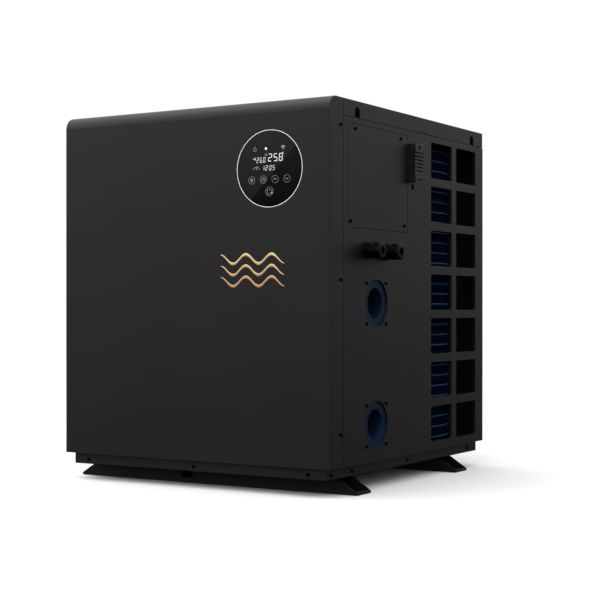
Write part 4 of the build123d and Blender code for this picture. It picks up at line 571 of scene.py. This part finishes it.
def build_guard():
    top = guard_high.z - WIRE
    middle = Vector((guard_centre.x, guard_centre.y, top))
    mesh = bmesh.new()
    centre = (guard_centre.x, guard_centre.y, 0)
    pitch = (GUARD_RIM - GUARD_EYE) / GUARD_RINGS
    for ring in range(GUARD_RINGS):
        tube(mesh, circle_points(middle, GUARD_EYE + pitch * ring, 96), WIRE, 8, closed=True)
    rim = [
        (GUARD_RIM, lid_face + 1.2 * MM),
        (GUARD_RIM + 0.8 * MM, lid_face + 2.6 * MM),
        (GUARD_RIM + 0.4 * MM, top + 0.4 * MM),
        (GUARD_RIM - 0.8 * MM, top + 1.2 * MM),
        (GUARD_RIM - 2.4 * MM, top + 0.6 * MM),
        (GUARD_RIM - 2.6 * MM, lid_face + 1.2 * MM),
    ]
    hub = [
        (0.2 * MM, top + 0.9 * MM),
        (10 * MM, top + 0.7 * MM),
        (GUARD_HUB, top - 0.4 * MM),
        (GUARD_HUB, top - 1.6 * MM),
        (0.2 * MM, top - 1.8 * MM),
    ]
    lathe(mesh, rim, centre, (0, 0, 1), FINE_TURN)
    lathe(mesh, hub, centre, (0, 0, 1), 64)
    for spoke in range(GUARD_SPOKES):
        angle = 2 * math.pi * (spoke + 0.5) / GUARD_SPOKES
        out = Vector((math.cos(angle), math.sin(angle), 0))
        below = Vector((guard_centre.x, guard_centre.y, top - 2 * WIRE + 0.4 * MM))
        reach = GUARD_RIM - 1.5 * MM
        stretch = reach - SPOKE_START
        route = [below + out * (SPOKE_START + stretch * k / SPOKE_STEPS) for k in range(SPOKE_STEPS + 1)]
        tube(mesh, route, WIRE, 10)
    piece("guard_wires", mesh, finishes["guard_paint"], "cabinet", ["fan_guard"])

    mesh = bmesh.new()
    flange = [
        (GUARD_RIM - 1.6 * MM, lid_face),
        (GUARD_FLANGE, lid_face),
        (GUARD_FLANGE, lid_face + 1.2 * MM),
        (GUARD_FLANGE - 0.8 * MM, lid_face + 2 * MM),
        (GUARD_RIM - 1.6 * MM, lid_face + 2 * MM),
    ]
    lathe(mesh, flange, centre, (0, 0, 1), FINE_TURN)
    piece("guard_flange", mesh, finishes["guard_paint"], "cabinet")


build_guard()

# ---------------------------------------------------------------------------------------------
# Black pads behind the lid's arches and the sensor's wire hole: painted shade, dark sheets standing in
# for the shadow inside these openings
# ---------------------------------------------------------------------------------------------
ARCH_HALF = 7.9 * MM
ARCH_LOW = 0.4 * MM
ARCH_TOP = 16.2 * MM
PAD_THICKNESS = 0.2 * MM
SHEET = 1.2 * MM
WIRE_HOLE_PAD = 5.4 * MM
WIRE_HOLE_GAP = 0.1 * MM
ARCH_GAP = 0.02 * MM
ARCH_STEPS = 16
ROUND_STEPS = 24

lid_screw_y = [front_face + 83.2 * MM, front_face + 497.2 * MM]
wire_hole = (front_face + 267.2 * MM, 475 * MM)


def pad(mesh, outline, x, side):
    """A flat pad on a plane of constant X, from an outline of (y, z) points."""
    faces = []
    for depth in (x, x - side * PAD_THICKNESS):
        faces.append([mesh.verts.new((depth, y, z)) for y, z in outline])
    mesh.faces.new(faces[0])
    mesh.faces.new(list(reversed(faces[1])))
    for k in range(len(outline)):
        j = (k + 1) % len(outline)
        mesh.faces.new((faces[0][k], faces[1][k], faces[1][j], faces[0][j]))


def build_pads():
    mesh = bmesh.new()
    foot = lid_low.z + ARCH_LOW
    crown = lid_low.z + ARCH_TOP - ARCH_HALF
    for side in (-1, 1):
        for y in lid_screw_y:
            outline = [(y - ARCH_HALF, foot), (y + ARCH_HALF, foot)]
            for k in range(ARCH_STEPS + 1):
                angle = math.pi * k / ARCH_STEPS
                outline.append((y + ARCH_HALF * math.cos(angle), crown + ARCH_HALF * math.sin(angle)))
            # black sheet behind each arch: painted shade for the arch's dark inside
            pad(mesh, outline, side * (side_face - SHEET + ARCH_GAP), side)
    centre_y, centre_z = wire_hole
    angles = [2 * math.pi * k / ROUND_STEPS for k in range(ROUND_STEPS)]
    outline = [
        (centre_y + WIRE_HOLE_PAD * math.cos(angle), centre_z + WIRE_HOLE_PAD * math.sin(angle))
        for angle in angles
    ]
    # black disc behind the wire hole: painted shade for the hole's dark inside
    pad(mesh, outline, side_face - SHEET - WIRE_HOLE_GAP, 1)
    piece("painted_shade_pads", mesh, finishes["rubber"], "cabinet")


build_pads()

# ---------------------------------------------------------------------------------------------
# Display: rounded glass, light ring, digits and touch symbols
# ---------------------------------------------------------------------------------------------
GLASS_RADIUS = 56.85 * MM
RING_INNER = 57.35 * MM
RING_OUTER = 57.85 * MM
PRINT_DEPTH = 0.06 * MM
glass_front = glass_low.y + 0.12 * MM


def build_glass():
    mesh = bmesh.new()
    back = glass_high.y
    profile = [
        (0.01 * MM, -glass_front),
        (GLASS_RADIUS - 1.4 * MM, -glass_front),
        (GLASS_RADIUS - 0.7 * MM, -glass_front - 0.12 * MM),
        (GLASS_RADIUS - 0.2 * MM, -glass_front - 0.4 * MM),
        (GLASS_RADIUS, -glass_front - 0.9 * MM),
        (GLASS_RADIUS, -back),
        (0.01 * MM, -back),
    ]
    centre = (display_centre.x, 0, display_centre.z)
    lathe(mesh, profile, centre, (0, -1, 0), 128)
    piece("glass_disc", mesh, finishes["display_glass"], "cabinet", ["display_glass"])


def build_ring():
    """The light guide round the glass, and the dark bezel that it sits in."""
    centre = (display_centre.x, 0, display_centre.z)
    front = -front_face + 0.1 * MM
    mesh = bmesh.new()
    profile = [
        (RING_INNER, front - 3 * MM),
        (RING_INNER, front + 0.1 * MM),
        (RING_INNER + 0.12 * MM, front + 0.2 * MM),
        (RING_OUTER - 0.12 * MM, front + 0.2 * MM),
        (RING_OUTER, front + 0.1 * MM),
        (RING_OUTER, front - 3 * MM),
    ]
    lathe(mesh, profile, centre, (0, -1, 0), 144)
    piece("ring_light", mesh, finishes["display_ring"], "cabinet", ["display_ring"])
    mesh = bmesh.new()
    for inner, outer in ((GLASS_RADIUS + 0.03 * MM, RING_INNER), (RING_OUTER, RING_OUTER + 0.6 * MM)):
        profile = [
            (inner, front - 3 * MM),
            (inner, front - 0.05 * MM),
            (outer, front - 0.05 * MM),
            (outer, front - 3 * MM),
        ]
        lathe(mesh, profile, centre, (0, -1, 0), 144)
    piece("ring_bezel", mesh, finishes["black_plastic"], "cabinet")


def on_glass(x, z):
    """A point of the print, from millimetres right of and above the display's centre."""
    return Vector((display_centre.x + x * MM, glass_front, display_centre.z + z * MM))


def slab(mesh, outline):
    """A thin flat plate in front of the glass, from its outline in print coordinates."""
    front = [mesh.verts.new(on_glass(x, z) - Vector((0, PRINT_DEPTH, 0))) for x, z in outline]
    rear = [mesh.verts.new(on_glass(x, z)) for x, z in outline]
    mesh.faces.new(front)
    mesh.faces.new(list(reversed(rear)))
    for k in range(len(outline)):
        j = (k + 1) % len(outline)
        mesh.faces.new((front[k], rear[k], rear[j], front[j]))


def stroke(mesh, points, width, closed=False):
    """A line of even width through points, as short plates that meet at mitred ends."""
    count = len(points)
    sides = []
    for k, point in enumerate(points):
        before = points[(k - 1) % count] if closed or k else point
        after = points[(k + 1) % count] if closed or k < count - 1 else point
        dx, dz = after[0] - before[0], after[1] - before[1]
        length = math.hypot(dx, dz)
        nx, nz = -dz / length * width / 2, dx / length * width / 2
        sides.append(((point[0] + nx, point[1] + nz), (point[0] - nx, point[1] - nz)))
    for k in range(count if closed else count - 1):
        j = (k + 1) % count
        slab(mesh, [sides[k][0], sides[j][0], sides[j][1], sides[k][1]])


def arc(x, z, radius, start, end, steps=24):
    span = [math.radians(start + (end - start) * k / steps) for k in range(steps + 1)]
    return [(x + radius * math.cos(a), z + radius * math.sin(a)) for a in span]


SEGMENTS = {
    "0": "abcdef",
    "1": "bc",
    "2": "abged",
    "5": "afgcd",
    "6": "afgcde",
    "8": "abcdefg",
}


def digit(mesh, figure, x, z, width, height, weight):
    """One seven-segment digit with its lower left corner at x, z, leaning a little to the right."""
    half, lean = height / 2, 0.08
    corners = {
        "a": ((0, height), (width, height)),
        "b": ((width, height), (width, half)),
        "c": ((width, half), (width, 0)),
        "d": ((0, 0), (width, 0)),
        "e": ((0, half), (0, 0)),
        "f": ((0, height), (0, half)),
        "g": ((0, half), (width, half)),
    }
    for name in SEGMENTS[figure]:
        (x0, z0), (x1, z1) = corners[name]
        length = math.hypot(x1 - x0, z1 - z0)
        ux, uz = (x1 - x0) / length, (z1 - z0) / length
        gap, w = 0.12 * weight, weight / 2
        near, far = gap + w, length - gap - w
        outline = []
        for s, t in ((gap, 0), (near, w), (far, w), (length - gap, 0), (far, -w), (near, -w)):
            px, pz = x0 + ux * s - uz * t, z0 + uz * s + ux * t
            outline.append((x + px + lean * pz, z + pz))
        slab(mesh, outline)


def dot(mesh, x, z, size):
    """A square dot with its lower left corner at x, z."""
    slab(mesh, [(x, z), (x + size, z), (x + size, z + size), (x, z + size)])


def number(mesh, text, x, z, width, height, weight, gap):
    """Figures in a row, with a point or a colon in the gap between two of them."""
    for figure in text:
        if figure == ".":
            dot(mesh, x - gap * 0.75, z - weight / 2, weight)
            continue
        if figure == ":":
            for rise in (0.28, 0.72):
                dot(mesh, x - gap * 0.45, z + rise * height, weight)
            x += gap * 0.5
            continue
        digit(mesh, figure, x, z, width, height, weight)
        x += width + gap


TOUCH_ROW = -16.3


def build_print():
    bright = bmesh.new()
    number(bright, "25.8", -1.4, 10.9, 5.3, 10.6, 0.9, 4.2)
    number(bright, "26.0", -22.2, 9.6, 2.9, 7.2, 0.5, 3.1)
    number(bright, "12:05", -12.2, -2.4, 2.9, 6.8, 0.52, 2.8)
    stroke(bright, arc(24.6, 22.4, 0.8, 0, 345, 12), 0.35, closed=True)
    slab(bright, arc(-5.6, 30.0, 1.9, 0, 340, 17))
    piece("print_digits", bright, icon_finish, "cabinet")

    dim = bmesh.new()
    stroke(dim, arc(-25.5, 29.4, 2.6, 110, 430, 24), 0.45)
    stroke(dim, [(-26.3, 31.8), (-25.5, 33.8), (-24.7, 31.8)], 0.45)
    for reach in (1.9, 3.4, 4.9):
        stroke(dim, arc(24.6, 28.0, reach, 45, 135, 12), 0.8)
    slab(dim, arc(24.6, 28.0, 0.8, 0, 330, 11))
    stroke(dim, arc(-22.6, -2.6, 5.8, 18, 162), 0.55)
    stroke(dim, arc(-22.6, -2.6, 2.4, 50, 130, 8), 0.5)
    stroke(dim, [(-22.6, 3.4), (-22.6, -1.2)], 0.45)
    slab(dim, [(-29.2, 15.2), (-23.6, 17.6), (-23.6, 12.8)])
    stroke(dim, arc(-5.2, 20.6, 1.7, 0, 345, 16), 0.5, closed=True)
    for x in (-31.0, -10.2, 10.6, 31.4):
        stroke(dim, arc(x, TOUCH_ROW, 5.7, 0, 352, 44), 0.27, closed=True)
    stroke(dim, [(8.3, -17.2), (10.6, -14.6), (12.9, -17.2)], 0.6)
    stroke(dim, [(29.1, -15.0), (31.4, -17.8), (33.7, -15.0)], 0.6)
    for shift in (-1.5, 0.0, 1.5):
        stroke(dim, [(-31.0 + shift, -18.9), (-31.0 + shift, -13.7)], 0.5)
    stroke(dim, [(-33.2, TOUCH_ROW), (-28.8, TOUCH_ROW)], 0.4)
    stroke(dim, arc(-10.2, TOUCH_ROW, 3.2, 120, 420, 22), 0.35)
    stroke(dim, [(-10.2, -13.1), (-10.2, TOUCH_ROW), (-8.0, TOUCH_ROW)], 0.6)
    stroke(dim, arc(0.4, -34.0, 6.6, 0, 352, 44), 0.27, closed=True)
    stroke(dim, arc(0.4, -34.0, 4.0, 125, 415, 24), 0.35)
    stroke(dim, [(0.4, -29.4), (0.4, -33.0)], 0.45)
    slab(dim, [(3.4, -37.6), (4.8, -34.2), (6.0, -37.0)])
    piece("print_symbols", dim, dim_icon_finish, "cabinet")


build_glass()
build_ring()
build_print()

# ---------------------------------------------------------------------------------------------
# Emblem: three waves with rounded faces
# ---------------------------------------------------------------------------------------------
WAVE_SPACING = 17 * MM
WAVE_SWING = 7 * MM
WAVE_HEIGHT = 4.5 * MM
WAVE_STEPS = 80
WAVE_CREASES = 5
SECTION_STEPS = 8


def build_emblem():
    mesh = bmesh.new()
    left, right = emblem_low.x, emblem_high.x
    depth = emblem_high.y - emblem_low.y
    for row in (-1, 0, 1):
        middle = emblem_centre.z + row * WAVE_SPACING
        sections = []
        for k in range(WAVE_STEPS + 1):
            share = k / WAVE_STEPS
            x = left + (right - left) * share
            z = middle + WAVE_SWING * math.cos(WAVE_CREASES * math.pi * share)
            taper = min(1.0, 6 * share, 6 * (1 - share)) ** 0.6 * 0.9 + 0.1
            half = WAVE_HEIGHT / 2 * taper
            section = []
            for i in range(SECTION_STEPS + 1):
                t = math.pi * i / SECTION_STEPS
                y = emblem_high.y - depth * math.sin(t) ** 0.7
                section.append(mesh.verts.new((x, y, z - half * math.cos(t))))
            sections.append(section)
        for here, there in zip(sections, sections[1:]):
            for i in range(SECTION_STEPS):
                mesh.faces.new((here[i], here[i + 1], there[i + 1], there[i]))
            mesh.faces.new((here[0], there[0], there[-1], here[-1]))
        mesh.faces.new(sections[0])
        mesh.faces.new(list(reversed(sections[-1])))
    piece("wave_emblem", mesh, finishes["gold_trim"], "cabinet", ["front_emblem"], 60)


build_emblem()

# ---------------------------------------------------------------------------------------------
# Stage, lights and camera
# ---------------------------------------------------------------------------------------------
FLOOR_RADIUS = 9.0
FLOOR_DROP = 0.5 * MM
DOME_RADIUS = 14.0
RANGE_SOCKETS = ("From Min", "From Max", "To Min", "To Max")
WORLD_RISE = (-0.2, 0.42, 0.07, 1.8)
WORLD_DIM_SIDE = (0.62, 0.78, 0.0)
WORLD_SIDE = (-0.6, 0.9, 1.0, 0.5)


def only_for_camera(thing):
    """The stage shows, but neither lights the object nor shows in it."""
    thing.visible_diffuse = False
    thing.visible_glossy = False
    thing.visible_transmission = False


def build_floor():
    mesh = bmesh.new()
    bmesh.ops.create_circle(mesh, cap_ends=True, segments=96, radius=FLOOR_RADIUS)
    data = bpy.data.meshes.new("studio_floor")
    mesh.to_mesh(data)
    mesh.free()
    floor = bpy.data.objects.new("studio_floor", data)
    scene.collection.objects.link(floor)
    floor.location.z = -FLOOR_DROP
    s = Shader("studio_floor")
    tone = s.spread(s.noise(1.5, 3.0), 0.3, 0.7)
    s.colour(s.blend(tone, (0.9, 0.9, 0.9), (0.93, 0.93, 0.93)))
    s.set(Roughness=0.9, Specular_IOR_Level=0.1)
    length = s.nodes.new("ShaderNodeVectorMath")
    length.operation = "LENGTH"
    s.join(s.place, length.inputs[0])
    s.join(s.spread(length.outputs["Value"], 6.0, 1.2), s.surface.inputs["Alpha"])
    data.materials.append(s.material)
    only_for_camera(floor)


def area_light(name, place, target, size, power):
    lamp = bpy.data.lights.new(name, "AREA")
    lamp.shape = "RECTANGLE"
    lamp.size, lamp.size_y = size
    lamp.energy = power
    thing = bpy.data.objects.new(name, lamp)
    scene.collection.objects.link(thing)
    thing.location = place
    thing.rotation_euler = (Vector(target) - Vector(place)).to_track_quat("-Z", "Y").to_euler()


def build_backdrop():
    """A pale dome that only the camera sees, so that it adds no light."""
    mesh = bmesh.new()
    bmesh.ops.create_icosphere(mesh, subdivisions=4, radius=DOME_RADIUS)
    data = bpy.data.meshes.new("studio_backdrop")
    mesh.to_mesh(data)
    mesh.free()
    dome = bpy.data.objects.new("studio_backdrop", data)
    scene.collection.objects.link(dome)
    s = Shader("studio_backdrop")
    s.colour(s.spread(s.noise(0.05, 1.0), 0.0, 1.0, 0.0, 0.0))
    s.set(Roughness=1.0, Emission_Color=(1.0, 1.0, 1.0, 1.0), Emission_Strength=1.0)
    data.materials.append(s.material)
    only_for_camera(dome)
    dome.visible_shadow = False


def build_world():
    """Soft studio surround: bright overhead, dim below, and dimmer behind on the right."""
    world = bpy.data.worlds.new("studio")
    scene.world = world
    world.use_nodes = True
    nodes, links = world.node_tree.nodes, world.node_tree.links
    direction = nodes.new("ShaderNodeTexCoord").outputs["Generated"]
    split = nodes.new("ShaderNodeSeparateXYZ")
    links.new(direction, split.inputs["Vector"])
    height = nodes.new("ShaderNodeMapRange")
    height.interpolation_type = "SMOOTHSTEP"
    for socket, value in zip(RANGE_SOCKETS, WORLD_RISE):
        height.inputs[socket].default_value = value
    links.new(split.outputs["Z"], height.inputs["Value"])
    toward = nodes.new("ShaderNodeVectorMath")
    toward.operation = "DOT_PRODUCT"
    toward.inputs[1].default_value = WORLD_DIM_SIDE
    links.new(direction, toward.inputs[0])
    side = nodes.new("ShaderNodeMapRange")
    for socket, value in zip(RANGE_SOCKETS, WORLD_SIDE):
        side.inputs[socket].default_value = value
    links.new(toward.outputs["Value"], side.inputs["Value"])
    both = nodes.new("ShaderNodeMath")
    both.operation = "MULTIPLY"
    links.new(height.outputs["Result"], both.inputs[0])
    links.new(side.outputs["Result"], both.inputs[1])
    links.new(both.outputs["Value"], nodes["Background"].inputs["Strength"])
    nodes["Background"].inputs["Color"].default_value = (1.0, 1.0, 1.0, 1.0)


build_floor()
build_backdrop()
build_world()
area_light("overhead_soft", (-0.5, -1.0, 3.2), (0, 0, 0.3), (2.8, 2.0), 27)

VIEW_AZIMUTH = math.radians(31.3)
VIEW_DISTANCE = 2.391
VIEW_SIDE = 0.034
VIEW_HEIGHT = 0.2784

lens = bpy.data.cameras.new("camera")
lens.lens = 84
lens.sensor_width = 36
lens.shift_y = 0.0142
camera = bpy.data.objects.new("camera", lens)
scene.collection.objects.link(camera)
forward = Vector((-math.sin(VIEW_AZIMUTH), math.cos(VIEW_AZIMUTH), 0))
rightward = Vector((forward.y, -forward.x, 0))
camera.location = -VIEW_DISTANCE * forward + VIEW_SIDE * rightward + Vector((0, 0, VIEW_HEIGHT))
camera.rotation_euler = (math.pi / 2, 0, VIEW_AZIMUTH)
scene.camera = camera
scene.view_settings.view_transform = "Standard"
